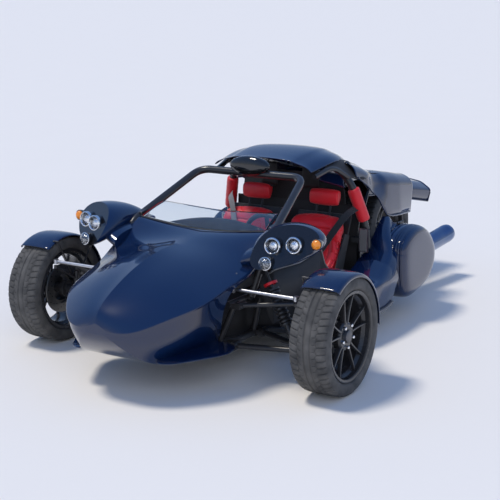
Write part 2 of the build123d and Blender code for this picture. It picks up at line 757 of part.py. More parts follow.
def lower_frame():
    """Side rails, end cross tubes, suspension towers and the engine cradle."""
    rail = tube([at(*p) for p in RAIL], FRAME_TUBE_R, 50.0)
    front = rod(at(-192, -450, 221), at(192, -450, 221), FRAME_TUBE_R - 2)
    back = rod(at(-500, 1240, 142), at(500, 1240, 142), FRAME_TUBE_R - 2)
    posts = []
    for behind, foot_x in ((-60.0, 250.0), (200.0, 300.0)):
        posts.append(rod(at(foot_x, behind, 165), at(352, behind, 400), STAY_TUBE_R))
    beam = rod(at(352, -134, 400), at(352, 220, 400), STAY_TUBE_R)
    cradle_line = [at(215, 1246, 142), at(215, 1500, 142), at(215, 1640, 240), at(215, 1640, 420)]
    cradle = tube(cradle_line, FRAME_TUBE_R, 55.0)
    pivot = rod(at(-232, PIVOT[1], PIVOT[2]), at(232, PIVOT[1], PIVOT[2]), 14.0)
    side = rail + posts[0] + posts[1] + beam + cradle
    side = side + rod(at(352, 40, 400), at(HOOP_FOOT[0], HOOP_FOOT[1], HOOP_FOOT[2]), STAY_TUBE_R)
    for pivots, reaches in ((ARM_LOW_PIVOTS, LOW_TAB_IN), (ARM_HIGH_PIVOTS, HIGH_TAB_IN)):
        for (x, behind, z), inner in zip(pivots, reaches):
            for end in (-1, 1):
                y = AXLE_F + behind + end * (SLEEVE_HALF + TAB_T / 2)
                side = side + block(inner, x + 16, y - TAB_T / 2, y + TAB_T / 2, z - 14, z + 14)
    side = side + rod(at(215, 1640, 380), at(CASE_X0, 1640, 380), 10.0)
    return both(side) + front + back + pivot


frame_tubes = lower_frame() - hoop - dampers
keep("lower_frame", frame_tubes)

cage = cage - frame_tubes
keep("roll_cage", cage)
keep("dampers", dampers_all - cage)

# Engine: plain block with its true bulk, ahead of the swingarm
ENGINE = (-205.0, 205.0, 1262.0, 1590.0, 165.0, 560.0)
keep("engine_block", block(ENGINE[0], ENGINE[1], AXLE_F + ENGINE[2], AXLE_F + ENGINE[3], ENGINE[4], ENGINE[5]))

# Swingarm
ARM_HALF = REAR_TYRE_W / 2 + 26.0


def swingarm():
    """Two box arms from the pivot to the rear axle, with its spindle."""
    pivot = at(0, PIVOT[1], PIVOT[2])
    axle = Vector(*REAR_CENTRE)
    arm = side_plate([
        (PIVOT[1] - 20, PIVOT[2] - 30), (PIVOT[1] - 20, PIVOT[2] + 30), (WHEELBASE - 20, REAR_TYRE_R + 28),
        (WHEELBASE + 45, REAR_TYRE_R + 26), (WHEELBASE + 45, REAR_TYRE_R - 26), (WHEELBASE - 20, REAR_TYRE_R - 28),
    ], ARM_HALF - 12, ARM_HALF + 22)
    cross = rod(at(-ARM_HALF, PIVOT[1], PIVOT[2]), at(ARM_HALF, PIVOT[1], PIVOT[2]), 24.0, 14.0)
    spindle = rod((-ARM_HALF - 30, axle.Y, axle.Z), (ARM_HALF + 30, axle.Y, axle.Z), 12.5)
    return both(arm) + cross + spindle


lug = block(-14, 14, AXLE_F + PIVOT[1], AXLE_F + REAR_DAMPER[0][1] + 20, 304, 345)
PIVOT_BORE = rod(at(-232, PIVOT[1], PIVOT[2]), at(232, PIVOT[1], PIVOT[2]), 14.0)
keep("swingarm", swingarm() + lug - PIVOT_BORE - dampers_all)

# Roof panel and tail spine: stations of (behind, left edge, crown, right edge)
ROOF = (
    (790.0, (-322.0, 948.0), (0.0, 1012.0), (322.0, 948.0)),
    (1121.0, (-335.0, 975.0), (0.0, 1045.0), (335.0, 975.0)),
    (1450.0, (-250.0, 880.0), (0.0, 962.0), (250.0, 880.0)),
    (WHEELBASE - 386.0, (-150.0, 760.0), (0.0, 822.0), (150.0, 760.0)),
)
roof = arc_strip(ROOF, (0.0, -SKIN)) - cage
keep("roof_panel", roof)

# Rear fairing, left side: stations of (behind, points from the roof's edge over the ridge and down)
FAIRING_END = WHEELBASE - 326.0
FAIRING = (
    (1180.0, ((314.0, 962.0), (366.0, 955.0), (402.0, 925.0), (416.0, 880.0))),
    (1440.0, ((242.0, 888.0), (346.0, 885.0), (416.0, 840.0), (436.0, 724.0))),
    (1500.0, ((230.0, 872.0), (348.0, 874.0), (422.0, 828.0), (468.0, 594.0))),
    (1750.0, ((176.0, 804.0), (350.0, 836.0), (438.0, 786.0), (456.0, 566.0))),
    (FAIRING_END, ((150.0, 745.0), (340.0, 800.0), (438.0, 750.0), (428.0, 546.0))),
)
fairing = folded_strip(FAIRING, SKIN)
end_line = [at(x, FAIRING_END, z) for x, z in FAIRING[-1][1]]
end_wall = extrude(make_face(Polyline(*end_line, close=True)), amount=SKIN, dir=(0, 1, 0))
left_fairing = fairing + end_wall - roof - cage
keep("rear_fairings", both(left_fairing))

# Tail lamps on the fairings' end walls
TAIL_LAMP = (403.0, 592.0, 19.0, 42.0)


def tail_lamp():
    """Left upright oval lamp with a domed face."""
    x, z, half_w, half_h = TAIL_LAMP
    sections = []
    for behind, share in ((0.0, 1.0), (16.0, 1.0), (26.0, 0.7)):
        plane = Plane(origin=at(x, FAIRING_END + SKIN + behind, z), x_dir=(1, 0, 0), z_dir=(0, 1, 0))
        sections.append(plane * Ellipse(half_w * share, half_h * share))
    return loft(sections, ruled=True)


keep("tail_lamps", both(tail_lamp()))

# Quarter panel, left side: stations of (front edge, rear edge) up from the sill to the fairing
QUARTER = (
    ((530.0, 1206.0, 426.0), (636.0, 1206.0, 416.0)),
    ((502.0, 1250.0, 516.0), (577.0, 1300.0, 510.0)),
    ((488.0, 1318.0, 562.0), (536.0, 1384.0, 552.0)),
    ((476.0, 1440.0, 596.0), (500.0, 1478.0, 590.0)),
)
QUARTER_WALL = Vector(-3.0, 5.0, -3.0)


def quarter_panel():
    """Left panel that leans back and narrows between the sill's end and the fairing."""
    faces = []
    for front, rear in QUARTER:
        p, q = at(*front), at(*rear)
        faces.append(make_face(Polyline(p, q, q + QUARTER_WALL, p + QUARTER_WALL, close=True)))
    return loft(faces, ruled=True)

# Tail fender over the rear tyre, half stations of (behind the rear axle, points from its low edge to its
# middle), each point as (x beyond the tyre's side, z over the tyre's top)
TAIL = (
    (-386.0, ((10.0, -30.0), (14.0, 8.0), (-40.0, 66.0), (-REAR_TYRE_W / 2, 88.0))),
    (-86.0, ((14.0, -60.0), (32.0, 2.0), (-14.0, 54.0), (-REAR_TYRE_W / 2, 81.0))),
    (214.0, ((56.0, -140.0), (74.0, -66.0), (14.0, -10.0), (-REAR_TYRE_W / 2, 22.0))),
    (LENGTH - FRONT_OVERHANG - WHEELBASE, ((76.0, -192.0), (96.0, -106.0), (18.0, -54.0), (-REAR_TYRE_W / 2, -28.0))),
)


def tail_fender():
    """Arched hugger that widens to two points behind the tyre."""
    stations = []
    for behind, half in TAIL:
        right = [(REAR_TYRE_W / 2 + x, 2 * REAR_TYRE_R + z) for x, z in half]
        left = [(-x, z) for x, z in right[:-1]]
        stations.append((WHEELBASE + behind, left + list(reversed(right))))
    return folded_strip(stations, SKIN)


keep("tail_fender", tail_fender() - cage - roof)

# Side pods, left side: stations of (behind, floor z, outer top edge, brow edge, z at the tub)
SILL_X0 = 474.0
SILL = (
    (450.0, 132.0, (590.0, 236.0), (556.0, 250.0), 256.0),
    (700.0, 120.0, (680.0, 292.0), (636.0, 306.0), 310.0),
    (960.0, 120.0, (700.0, 312.0), (652.0, 330.0), 338.0),
    (1100.0, 124.0, (698.0, 314.0), (648.0, 380.0), 396.0),
    (1206.0, 134.0, (690.0, 310.0), (640.0, 418.0), 430.0),
)


def side_pods():
    """Left sill: widens behind the front wheel and climbs to the quarter panel at its back."""
    faces = []
    for behind, low, outer, brow, inner in SILL:
        corners = [(SILL_X0, low), (outer[0] - 30, low), (outer[0], low + 60), outer, brow, (SILL_X0, inner)]
        faces.append(make_face(Polyline(*[at(x, behind, z) for x, z in corners], close=True)))
    return loft(faces, ruled=True)


left_sill = side_pods() - cage
keep("side_pods", both(left_sill) - frame_tubes)
keep("shoulder_panels", both(quarter_panel() - left_sill - left_fairing - cage))

# Panniers: case fixed to the frame, lid hinged along its top
CASE_X1 = 560.0
LID_X1 = 700.0
CASE_OUTLINE = (
    (1270, 420), (1330, 520), (1500, 560), (1680, 500), (1790, 360), (1750, 230), (1570, 150), (1385, 130),
    (1288, 240),
)
LID_GAP = 6.0


def pannier_part(x0, x1, open_side):
    """Hollow half of a pannier between two planes, open towards +1 or -1 in X."""
    outer = side_plate(CASE_OUTLINE, x0, x1)
    cy = sum(p[0] for p in CASE_OUTLINE) / len(CASE_OUTLINE)
    cz = sum(p[1] for p in CASE_OUTLINE) / len(CASE_OUTLINE)
    inner_points = []
    for y, z in CASE_OUTLINE:
        reach = hypot(cy - y, cz - z)
        inner_points.append((y + SKIN * (cy - y) / reach, z + SKIN * (cz - z) / reach))
    low = x0 + SKIN if open_side > 0 else x0 - 10
    high = x1 + 10 if open_side > 0 else x1 - SKIN
    return outer - side_plate(inner_points, low, high)


HINGE_X = CASE_X1 + LID_GAP / 2
HINGE_Z = 568.0
HINGE_MID = 1500.0
BARREL_R = 6.0
PIN_R = 3.0
PIN_FIT = 0.4
BARREL_HALF = 18.0
BARREL_GAP = 5.0
PIN_HALF = 46.0
LEAF_T = 5.0
LEAF_DROP = 30.0


def barrel(start, end):
    """Round hinge barrel on the lid's axis between two places along it."""
    return rod(at(HINGE_X, HINGE_MID + start, HINGE_Z), at(HINGE_X, HINGE_MID + end, HINGE_Z), BARREL_R)


def leaf(start, end, side):
    """Flat leaf down from a barrel, towards the case at -1 or the lid at +1."""
    y = AXLE_F + HINGE_MID
    near, far = HINGE_X + side * 2, HINGE_X + side * (2 + LEAF_T)
    return block(near, far, y + start, y + end, HINGE_Z - LEAF_DROP, HINGE_Z)


def hinge_bore():
    """Hole for the pin."""
    return rod(at(HINGE_X, HINGE_MID - PIN_HALF, HINGE_Z), at(HINGE_X, HINGE_MID + PIN_HALF, HINGE_Z), PIN_R + PIN_FIT)


def case_hinge():
    """Two barrels of the case with the pin between them."""
    near = BARREL_HALF + BARREL_GAP
    pin = rod(at(HINGE_X, HINGE_MID - PIN_HALF, HINGE_Z), at(HINGE_X, HINGE_MID + PIN_HALF, HINGE_Z), PIN_R)
    ends = barrel(near, PIN_HALF) + barrel(-PIN_HALF, -near)
    return pin + ends + leaf(near, PIN_HALF, -1) + leaf(-PIN_HALF, -near, -1)


def lid_hinge():
    """Middle barrel of the lid."""
    return barrel(-BARREL_HALF, BARREL_HALF) + leaf(-BARREL_HALF, BARREL_HALF, 1) - hinge_bore()


keep("pannier_cases", both(pannier_part(CASE_X0, CASE_X1, 1) + case_hinge()) - cage)
lid = pannier_part(CASE_X1 + LID_GAP, LID_X1, -1) + lid_hinge()
keep("pannier_lid_left", lid)
keep("pannier_lid_right", mirror(lid, about=Plane.YZ))

# Exhaust can on the left
EXHAUST_START = (350.0, 1800.0, 215.0)
EXHAUST_FRONT = (400.0, WHEELBASE - 326.0, 235.0)
EXHAUST_END = (455.0, WHEELBASE + 274.0, 300.0)


def exhaust():
    """Header pipe and a round can with an open end."""
    can = rod(at(*EXHAUST_FRONT), at(*EXHAUST_END), 62.0)
    front, end = at(*EXHAUST_FRONT), at(*EXHAUST_END)
    hole = rod(along(front, end, 0.8), along(front, end, 1.02), 34.0)
    pipe = tube([at(190, 1400, 262), at(330, 1490, 215), at(*EXHAUST_START), at(*EXHAUST_FRONT)], 24.0, 60.0)
    return can - hole + pipe - NODES["engine_block"]


keep("exhaust", exhaust())


for name, shape in NODES.items():
    export_step(shape, f"parts/{name}.step")
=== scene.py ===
"""Looks of an open three wheeled two seat roadster over its packed frame.
Metres, front faces -Y, +X is its left."""
import json
import math

import bmesh
import bpy
import numpy as np
from bpy.props import FloatProperty, FloatVectorProperty, IntProperty, PointerProperty
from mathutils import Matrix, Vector


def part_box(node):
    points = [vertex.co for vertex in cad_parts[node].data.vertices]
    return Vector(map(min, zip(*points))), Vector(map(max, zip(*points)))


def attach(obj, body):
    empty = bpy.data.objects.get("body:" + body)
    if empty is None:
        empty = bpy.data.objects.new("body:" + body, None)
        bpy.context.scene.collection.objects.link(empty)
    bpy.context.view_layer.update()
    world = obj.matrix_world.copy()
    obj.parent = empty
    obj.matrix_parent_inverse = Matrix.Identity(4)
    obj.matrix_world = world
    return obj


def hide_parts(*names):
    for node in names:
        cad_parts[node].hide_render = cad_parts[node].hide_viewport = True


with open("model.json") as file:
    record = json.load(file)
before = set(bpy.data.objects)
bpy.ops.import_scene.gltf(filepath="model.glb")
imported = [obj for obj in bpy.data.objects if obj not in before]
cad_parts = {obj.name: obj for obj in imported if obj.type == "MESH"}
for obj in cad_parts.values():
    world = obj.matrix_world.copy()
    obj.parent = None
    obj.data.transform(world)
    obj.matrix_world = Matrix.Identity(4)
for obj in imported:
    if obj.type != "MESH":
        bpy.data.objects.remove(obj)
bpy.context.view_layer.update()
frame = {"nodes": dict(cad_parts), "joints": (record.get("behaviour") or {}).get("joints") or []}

bl_info = {
    "name": "Three Wheeled Roadster",
    "version": (1, 0, 0),
    "blender": (4, 5, 0),
    "location": "View3D > Sidebar > Roadster",
    "description": "Builds the panels, wheels, cabin and finishes of an open three wheeled roadster",
    "category": "Object",
}

NODES = frame["nodes"]
JOINTS = {joint["name"]: joint for joint in frame["joints"]}
FRONT_AXLE = np.array(JOINTS["front_left_spin"]["pos_m"])
REAR_AXLE = np.array(JOINTS["rear_spin"]["pos_m"])
MM = 0.001
SIDES = (("left", 1), ("right", -1))
X_AXIS = (1, 0, 0)
CLOTH_FRAMES = 20


def at(points):
    """Points of (x, behind the front axle, height) in millimetres, as metres in the frame."""
    return np.asarray(points, float) * MM + (0.0, FRONT_AXLE[1], 0.0)


def both(points):
    """Points in millimetres on the left and, mirrored, on the right, as metres in the frame."""
    return [at(points) * (side, 1, 1) for _, side in SIDES]


# Curves and surfaces

def spline_basis(count, t):
    """Weights of the points of a clamped cubic B-spline at each t, by the Cox and de Boor recursion."""
    degree = min(3, count - 1)
    inner = np.linspace(0, 1, count - degree + 1)
    knots = np.concatenate([np.zeros(degree), inner, np.ones(degree)])
    t = np.clip(np.asarray(t, float), 0, 1 - 1e-12)[:, None]
    weights = ((t >= knots[None, :-1]) & (t < knots[None, 1:])).astype(float)
    for step in range(1, degree + 1):
        low, high = knots[:-step - 1], knots[step + 1:]
        rise = np.where(knots[step:-1] > low, knots[step:-1] - low, 1)
        fall = np.where(high > knots[1:-step], high - knots[1:-step], 1)
        weights = (t - low) / rise * weights[:, :-1] * (knots[step:-1] > low) \
            + (high - t) / fall * weights[:, 1:] * (high > knots[1:-step])
    return weights


def smooth_line(points, count, through=False):
    """Points along the smooth curve of these control points. With through, the curve meets each of them."""
    points = np.asarray(points, float)
    flat = points.reshape(len(points), -1)
    if through:
        gaps = np.linalg.norm(np.diff(flat, axis=0), axis=1)
        where = np.concatenate([[0], np.cumsum(gaps)]) / gaps.sum()
        where = 0.5 * where + 0.5 * np.linspace(0, 1, len(points))
        flat = np.linalg.solve(spline_basis(len(points), where), flat)
    line = spline_basis(len(points), np.linspace(0, 1, count)) @ flat
    return line.reshape((count,) + points.shape[1:])


def panel_grid(net, along, across):
    """Grid on the smooth surface of a net of points: stations along, each a line of control points across."""
    rows = smooth_line(net, along, True)
    return np.swapaxes(smooth_line(np.swapaxes(rows, 0, 1), across), 0, 1)


def rounded_path(points, radius, steps=7):
    """Line through the points with each corner turned by a quadratic curve that starts radius before it."""
    points = np.asarray(points, float)
    before, corner, after = points[:-2], points[1:-1], points[2:]
    back, ahead = before - corner, after - corner
    back_run, ahead_run = np.linalg.norm(back, axis=1)[:, None], np.linalg.norm(ahead, axis=1)[:, None]
    reach = np.minimum(radius, 0.48 * np.minimum(back_run, ahead_run))
    enter, leave = corner + back / back_run * reach, corner + ahead / ahead_run * reach
    t = np.linspace(0, 1, steps)[None, :, None]
    turns = (1 - t) ** 2 * enter[:, None] + 2 * t * (1 - t) * corner[:, None] + t ** 2 * leave[:, None]
    return np.concatenate([points[:1], turns.reshape(-1, 3), points[-1:]])


def creased_rows(stations, count, radius, soften, steps):
    """Rows between stations of equal point counts: straight between them, then smoothed along by averaging
    each row with its neighbours, and with the corners of each row rounded."""
    stations = np.asarray(stations, float)
    run = np.concatenate([[0], np.cumsum(np.linalg.norm(np.diff(stations, axis=0), axis=2).mean(axis=1))])
    where = np.linspace(0, run[-1], count)
    flat = stations.reshape(len(stations), -1)
    rows = np.stack([np.interp(where, run, column) for column in flat.T], axis=1)
    for _ in range(soften):
        rows[1:-1] = (rows[:-2] + 2 * rows[1:-1] + rows[2:]) / 4
    rows = rows.reshape(count, -1, 3)
    return np.stack([rounded_path(row, radius, steps) for row in rows])


def spanned(half):
    """Line from the left side to the middle, carried on to the right as its mirror image."""
    half = np.asarray(half, float)
    other = half[::-1] if half[-1, 0] else half[-2::-1]
    return np.concatenate([half, other * (-1, 1, 1)])


def frames_along(path, up):
    """Two unit vectors square to the path at each of its points, the second as near to up as it can be."""
    tangent = np.gradient(path, axis=0)
    tangent = tangent / np.linalg.norm(tangent, axis=1)[:, None]
    side = np.cross(tangent, np.broadcast_to(np.asarray(up, float), tangent.shape))
    side = side / np.maximum(np.linalg.norm(side, axis=1)[:, None], 1e-9)
    return side, np.cross(side, tangent)


def swept_grid(path, profile, up=(0.0, 0.0, 1.0), scale=None):
    """Closed profile of (side, up) offsets carried along a path. scale grows it at each point of the path."""
    path, profile = np.asarray(path, float), np.asarray(profile, float)
    side, top = frames_along(path, up)
    grow = np.ones(len(path)) if scale is None else np.asarray(scale, float)
    offsets = side[:, None] * profile[None, :, :1] + top[:, None] * profile[None, :, 1:]
    return path[:, None] + offsets * grow[:, None, None]


def full_turn(count):
    """Evenly spaced angles round a circle."""
    return np.linspace(0, 2 * np.pi, count, endpoint=False)


def circle(radius, count):
    """Closed profile of a circle."""
    angle = full_turn(count)
    return np.stack([radius * np.cos(angle), radius * np.sin(angle)], axis=1)


def points_of(x, y, z):
    """Grid of points from its coordinates, each spread to the same shape."""
    return np.stack(np.broadcast_arrays(x, y, z), axis=-1)


def turned_grid(profile, centre, axis, count, start=0.0, sweep=2 * math.pi):
    """Profile of (along the axis, radius) turned about an axis through centre, from start; 0 points up."""
    axis = np.asarray(axis, float) / np.linalg.norm(axis)
    first = np.array((0.0, 0.0, 1.0)) - axis * axis[2]
    first = first / np.linalg.norm(first)
    second = np.cross(axis, first)
    closed = abs(sweep - 2 * math.pi) < 1e-6
    angle = np.linspace(start, start + sweep, count, endpoint=not closed)[:, None, None]
    profile = np.asarray(profile, float)
    out = first * np.cos(angle) + second * np.sin(angle)
    return np.asarray(centre, float) + axis * profile[None, :, :1] + out * profile[None, :, 1:]


def turned(profile, centre, axis, count, loop=False):
    """Profile turned once round, as a closed grid. With loop, the profile closes on itself as well."""
    return turned_grid(profile, centre, axis, count), True, loop


def cell_corners(grid):
    """The four corners of each cell of a grid, in order round it."""
    return np.stack([grid[:-1, :-1], grid[1:, :-1], grid[1:, 1:], grid[:-1, 1:]], axis=2)


def mesh_from_grids(name, grids, sharp, outward=None):
    """Object whose mesh joins grids of points. Each is an open grid or (points, closed along, closed across).
    Doubles are merged, faces are smooth, and edges turned by more than sharp degrees stay crisp.
    With outward set to a point, the faces are turned to look away from it."""
    corners, faces, coordinates, start = [], [], [], 0
    for grid in grids:
        points, close_u, close_v = grid if isinstance(grid, tuple) else (grid, False, False)
        rows, columns = points.shape[:2]
        index = np.arange(rows * columns).reshape(rows, columns)
        if close_u:
            index = np.concatenate([index, index[:1]])
        if close_v:
            index = np.concatenate([index, index[:, :1]], axis=1)
        u, v = (np.linspace(0, 1, count) for count in index.shape)
        corners.append(points.reshape(-1, 3))
        faces.append(cell_corners(index).reshape(-1, 4) + start)
        coordinates.append(cell_corners(points_of(u[:, None], v, 0)).reshape(-1, 3)[:, :2])
        start += rows * columns
    mesh = bpy.data.meshes.new(name)
    mesh.from_pydata(np.concatenate(corners), [], np.concatenate(faces))
    layer = mesh.uv_layers.new(name="UVMap")
    layer.data.foreach_set("uv", np.concatenate(coordinates).astype(np.float32).ravel())
    obj = bpy.data.objects.new(name, mesh)
    bpy.context.scene.collection.objects.link(obj)
    settle(obj, sharp, outward)
    return obj


def evened(obj):
    """Weights the normals by face area, so that narrow faces beside a cut don't dent the gloss."""
    normals = obj.modifiers.new("normals", "WEIGHTED_NORMAL")
    normals.keep_sharp = True
    normals.weight = 90
    return obj


def settle(obj, sharp, outward=None):
    """Merges doubles, drops faces with no area, turns the faces one way and marks the crisp edges."""
    work = bmesh.new()
    work.from_mesh(obj.data)
    bmesh.ops.remove_doubles(work, verts=work.verts, dist=2e-5)
    bmesh.ops.dissolve_degenerate(work, edges=work.edges, dist=1e-6)
    bmesh.ops.recalc_face_normals(work, faces=work.faces)
    if outward is not None:
        centre = Vector(outward)
        facing = sum(face.normal.dot(face.calc_center_median() - centre) * face.calc_area()
                     for face in work.faces)
        if facing < 0:
            bmesh.ops.reverse_faces(work, faces=work.faces)
    for face in work.faces:
        face.smooth = True
    for edge in work.edges:
        edge.smooth = edge.calc_face_angle(0.0) < math.radians(sharp)
    work.to_mesh(obj.data)
    work.free()


def solid_from(obj, thickness):
    """Gives a sheet its thickness, inwards from its outer face."""
    solid = obj.modifiers.new("wall", "SOLIDIFY")
    solid.thickness = thickness
    solid.offset = -1.0
    solid.use_even_offset = True
    return obj


def softened(obj, width, segments=2, angle=35.0):
    """Rounds the edges that turn by more than the angle."""
    bevel = obj.modifiers.new("edges", "BEVEL")
    bevel.width = width
    bevel.segments = segments
    bevel.limit_method = "ANGLE"
    bevel.angle_limit = math.radians(angle)
    return obj


def baked(obj):
    """Applies an object's modifiers to its mesh."""
    graph = bpy.context.evaluated_depsgraph_get()
    shown = bpy.data.meshes.new_from_object(obj.evaluated_get(graph))
    obj.modifiers.clear()
    obj.data = shown
    return obj


def carved(obj, *cutters):
    """Cuts the closed cutter shapes out of an object and removes them."""
    for cutter in cutters:
        cut = obj.modifiers.new("cut", "BOOLEAN")
        cut.operation = "DIFFERENCE"
        cut.solver = "EXACT"
        cut.object = cutter
    baked(obj)
    for cutter in cutters:
        bpy.data.objects.remove(cutter)
    return obj


def joined(name, objects):
    """One object that holds the meshes of several, with their modifiers applied."""
    work = bmesh.new()
    slots = []
    for obj in objects:
        baked(obj)
        moved = {}
        for index, material in enumerate(obj.data.materials):
            if material not in slots:
                slots.append(material)
            moved[index] = slots.index(material)
        for face in obj.data.polygons:
            face.material_index = moved.get(face.material_index, 0)
        work.from_mesh(obj.data)
        bpy.data.objects.remove(obj)
    mesh = bpy.data.meshes.new(name)
    work.to_mesh(mesh)
    work.free()
    for material in slots:
        mesh.materials.append(material)
    whole = bpy.data.objects.new(name, mesh)
    bpy.context.scene.collection.objects.link(whole)
    return whole


def tube_grid(path, radius, count):
    """Round tube along a path with flat ends, as one grid closed across."""
    path = np.asarray(path, float)
    ring = swept_grid(path, circle(radius, count))
    start = np.broadcast_to(path[:1, None], (1, count, 3))
    end = np.broadcast_to(path[-1:, None], (1, count, 3))
    return np.concatenate([start, ring, end]), False, True


def capped(points):
    """Closed grid of rings with each end ring drawn to its middle."""
    first = np.broadcast_to(points[:1].mean(axis=1, keepdims=True), points[:1].shape)
    last = np.broadcast_to(points[-1:].mean(axis=1, keepdims=True), points[-1:].shape)
    return np.concatenate([first, points, last]), False, True


def prism_grid(outline, direction):
    """Closed outline of points moved along a direction, with its two ends closed."""
    outline = np.asarray(outline, float)
    return capped(np.stack([outline, outline + np.asarray(direction, float)]))


def shaped(obj, height):
    """Moves each point of a mesh along its normal by height(points, normals), in metres."""
    points = np.empty(len(obj.data.vertices) * 3)
    normals = np.empty_like(points)
    obj.data.vertices.foreach_get("co", points)
    obj.data.vertices.foreach_get("normal", normals)
    points, normals = points.reshape(-1, 3), normals.reshape(-1, 3)
    points += normals * height(points, normals)[:, None]
    obj.data.vertices.foreach_set("co", points.ravel())
    obj.data.update()
    return obj


def stuffed(obj, pressure, cap, voxel=0.006):
    """Swells a closed cushion with cloth under pressure, and lets no point move further than cap.
    Quick renders keep the shape as modelled."""
    even = obj.modifiers.new("even", "REMESH")
    even.mode = "VOXEL"
    even.voxel_size = voxel
    baked(obj)
    before = np.empty(len(obj.data.vertices) * 3)
    obj.data.vertices.foreach_get("co", before)
    cloth = obj.modifiers.new("cloth", "CLOTH")
    cloth.settings.use_pressure = True
    cloth.settings.uniform_pressure_force = pressure
    cloth.settings.effector_weights.gravity = 0.0
    cloth.point_cache.frame_end = CLOTH_FRAMES
    for number in range(1, CLOTH_FRAMES + 1):
        bpy.context.scene.frame_set(number)
    baked(obj)
    bpy.context.scene.frame_set(1)
    after = np.empty_like(before)
    obj.data.vertices.foreach_get("co", after)
    before, move = before.reshape(-1, 3), (after - before).reshape(-1, 3)
    length = np.maximum(np.linalg.norm(move, axis=1), 1e-9)[:, None]
    obj.data.vertices.foreach_set("co", (before + move * np.minimum(1.0, cap / length)).ravel())
    obj.data.update()
    obj.data.polygons.foreach_set("use_smooth", [True] * len(obj.data.polygons))
    return obj


def mirror_of(obj, name):
    """Copy of a mesh on the other side of the centre plane."""
    other = bpy.data.objects.new(name, obj.data.copy())
    bpy.context.scene.collection.objects.link(other)
    work = bmesh.new()
    work.from_mesh(other.data)
    for point in work.verts:
        point.co.x = -point.co.x
    bmesh.ops.reverse_faces(work, faces=work.faces)
    work.to_mesh(other.data)
    work.free()
    return other


def ribbon_grid(path, wide, thick, face):
    """Flat strap along a path: face points away from what it lies on."""
    half, rise = wide / 2, thick / 2
    return capped(swept_grid(path, [(-half, -rise), (half, -rise), (half, rise), (-half, rise)], face))


def placed(obj, shade, slot_name, *nodes, body="chassis"):
    """Gives a piece its finish, its slot, the frame nodes it stands for and the body it rides on."""
    if shade:
        obj.data.materials.clear()
        obj.data.materials.append(finish(shade))
    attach(obj, body)
    if nodes:
        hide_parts(*nodes)
    return obj


def grid_piece(name, grids, sharp, shade, slot_name, *nodes, body="chassis"):
    """Piece made from grids of points, in one finish."""
    return placed(mesh_from_grids(name, grids, sharp), shade, slot_name, *nodes, body=body)


# Shader maths and finishes

class Wire:
    """A shader socket that adds a Math node for each operator it is used with."""

    def __init__(self, finish, socket):
        self.finish = finish
        self.socket = socket

    def math(self, operation, *others):
        values = [other.socket if isinstance(other, Wire) else other for other in (self,) + others]
        return self.finish.node("ShaderNodeMath", {"operation": operation}, dict(enumerate(values)))

    def __add__(self, other):
        return self.math("ADD", other)

    def __sub__(self, other):
        return self.math("SUBTRACT", other)

    def __mul__(self, other):
        return self.math("MULTIPLY", other)

    def __rsub__(self, other):
        return self.math("MULTIPLY", -1.0).math("ADD", other)

    __radd__ = __add__
    __rmul__ = __mul__

    def above(self, level):
        return self.math("GREATER_THAN", level)


class Nodes:
    """A node tree, with one way to add its nodes."""

    def __init__(self, tree):
        self.tree = tree

    def node(self, kind, settings=None, inputs=None, output=0):
        """Adds a node: its settings first, then the values or links of its sockets. Returns one output."""
        added = self.tree.nodes.new(kind)
        for key, value in (settings or {}).items():
            if key == "stops":
                ramp = added.color_ramp
                while len(ramp.elements) < len(value):
                    ramp.elements.new(0.5)
                for element, (place, colour) in zip(ramp.elements, value):
                    element.position = place
                    element.color = colour
            else:
                setattr(added, key, value)
        for key, value in (inputs or {}).items():
            self.feed(added.inputs[key], value)
        return Wire(self, added.outputs[output])

    def feed(self, socket, value):
        """Links or sets one socket."""
        value = value.socket if isinstance(value, Wire) else value
        if isinstance(value, bpy.types.NodeSocket):
            self.tree.links.new(value, socket)
        else:
            socket.default_value = value


class Finish(Nodes):
    """Node tree of one material, built from a Principled shader."""

    def __init__(self, name, **values):
        self.material = bpy.data.materials.new(name)
        self.material.use_nodes = True
        super().__init__(self.material.node_tree)
        self.tree.nodes.clear()
        self.shader = self.tree.nodes.new("ShaderNodeBsdfPrincipled")
        output = self.tree.nodes.new("ShaderNodeOutputMaterial")
        self.tree.links.new(self.shader.outputs[0], output.inputs[0])
        self.set(**values)

    def set(self, **values):
        """Sets sockets of the shader, named in lower case with underscores."""
        for key, value in values.items():
            name = " ".join(word.capitalize() for word in key.split("_")).replace("Ior", "IOR")
            self.feed(self.shader.inputs[name], rgba(value) if isinstance(value, tuple) else value)
        return self

    def place(self, scale=(1.0, 1.0, 1.0), uv=False):
        """Object coordinates, or the piece's own map, scaled."""
        source = self.node("ShaderNodeTexCoord", output=2 if uv else 3)
        return self.node("ShaderNodeMapping", {}, {"Vector": source, "Scale": scale})

    def noise(self, scale, detail=3.0, stretch=(1.0, 1.0, 1.0)):
        """Soft noise from 0 to 1."""
        inputs = {"Vector": self.place(stretch), "Scale": scale, "Detail": detail}
        return self.node("ShaderNodeTexNoise", {}, inputs)

    def cells(self, scale):
        """Distance to the nearest of scattered points."""
        return self.node("ShaderNodeTexVoronoi", {}, {"Vector": self.place(), "Scale": scale})

    def blend(self, share, low, high):
        """Colour between low and high by a share."""
        ends = [rgba(end) if isinstance(end, tuple) else end for end in (low, high)]
        inputs = {0: share, 6: ends[0], 7: ends[1]}
        return self.node("ShaderNodeMix", {"data_type": "RGBA"}, inputs, 2)

    def steps(self, value, low, high):
        """A value spread so that low becomes 0 and high becomes 1."""
        return self.node("ShaderNodeMapRange", {}, {0: value, 1: low, 2: high})

    def bump(self, height, strength, distance):
        """Feeds a height into the shader's normal."""
        inputs = {"Height": height, "Strength": strength, "Distance": distance}
        self.feed(self.shader.inputs["Normal"], self.node("ShaderNodeBump", {}, inputs))
        return self


def rgba(colour):
    """Colour with full alpha."""
    return tuple(colour)[:3] + (1.0,)


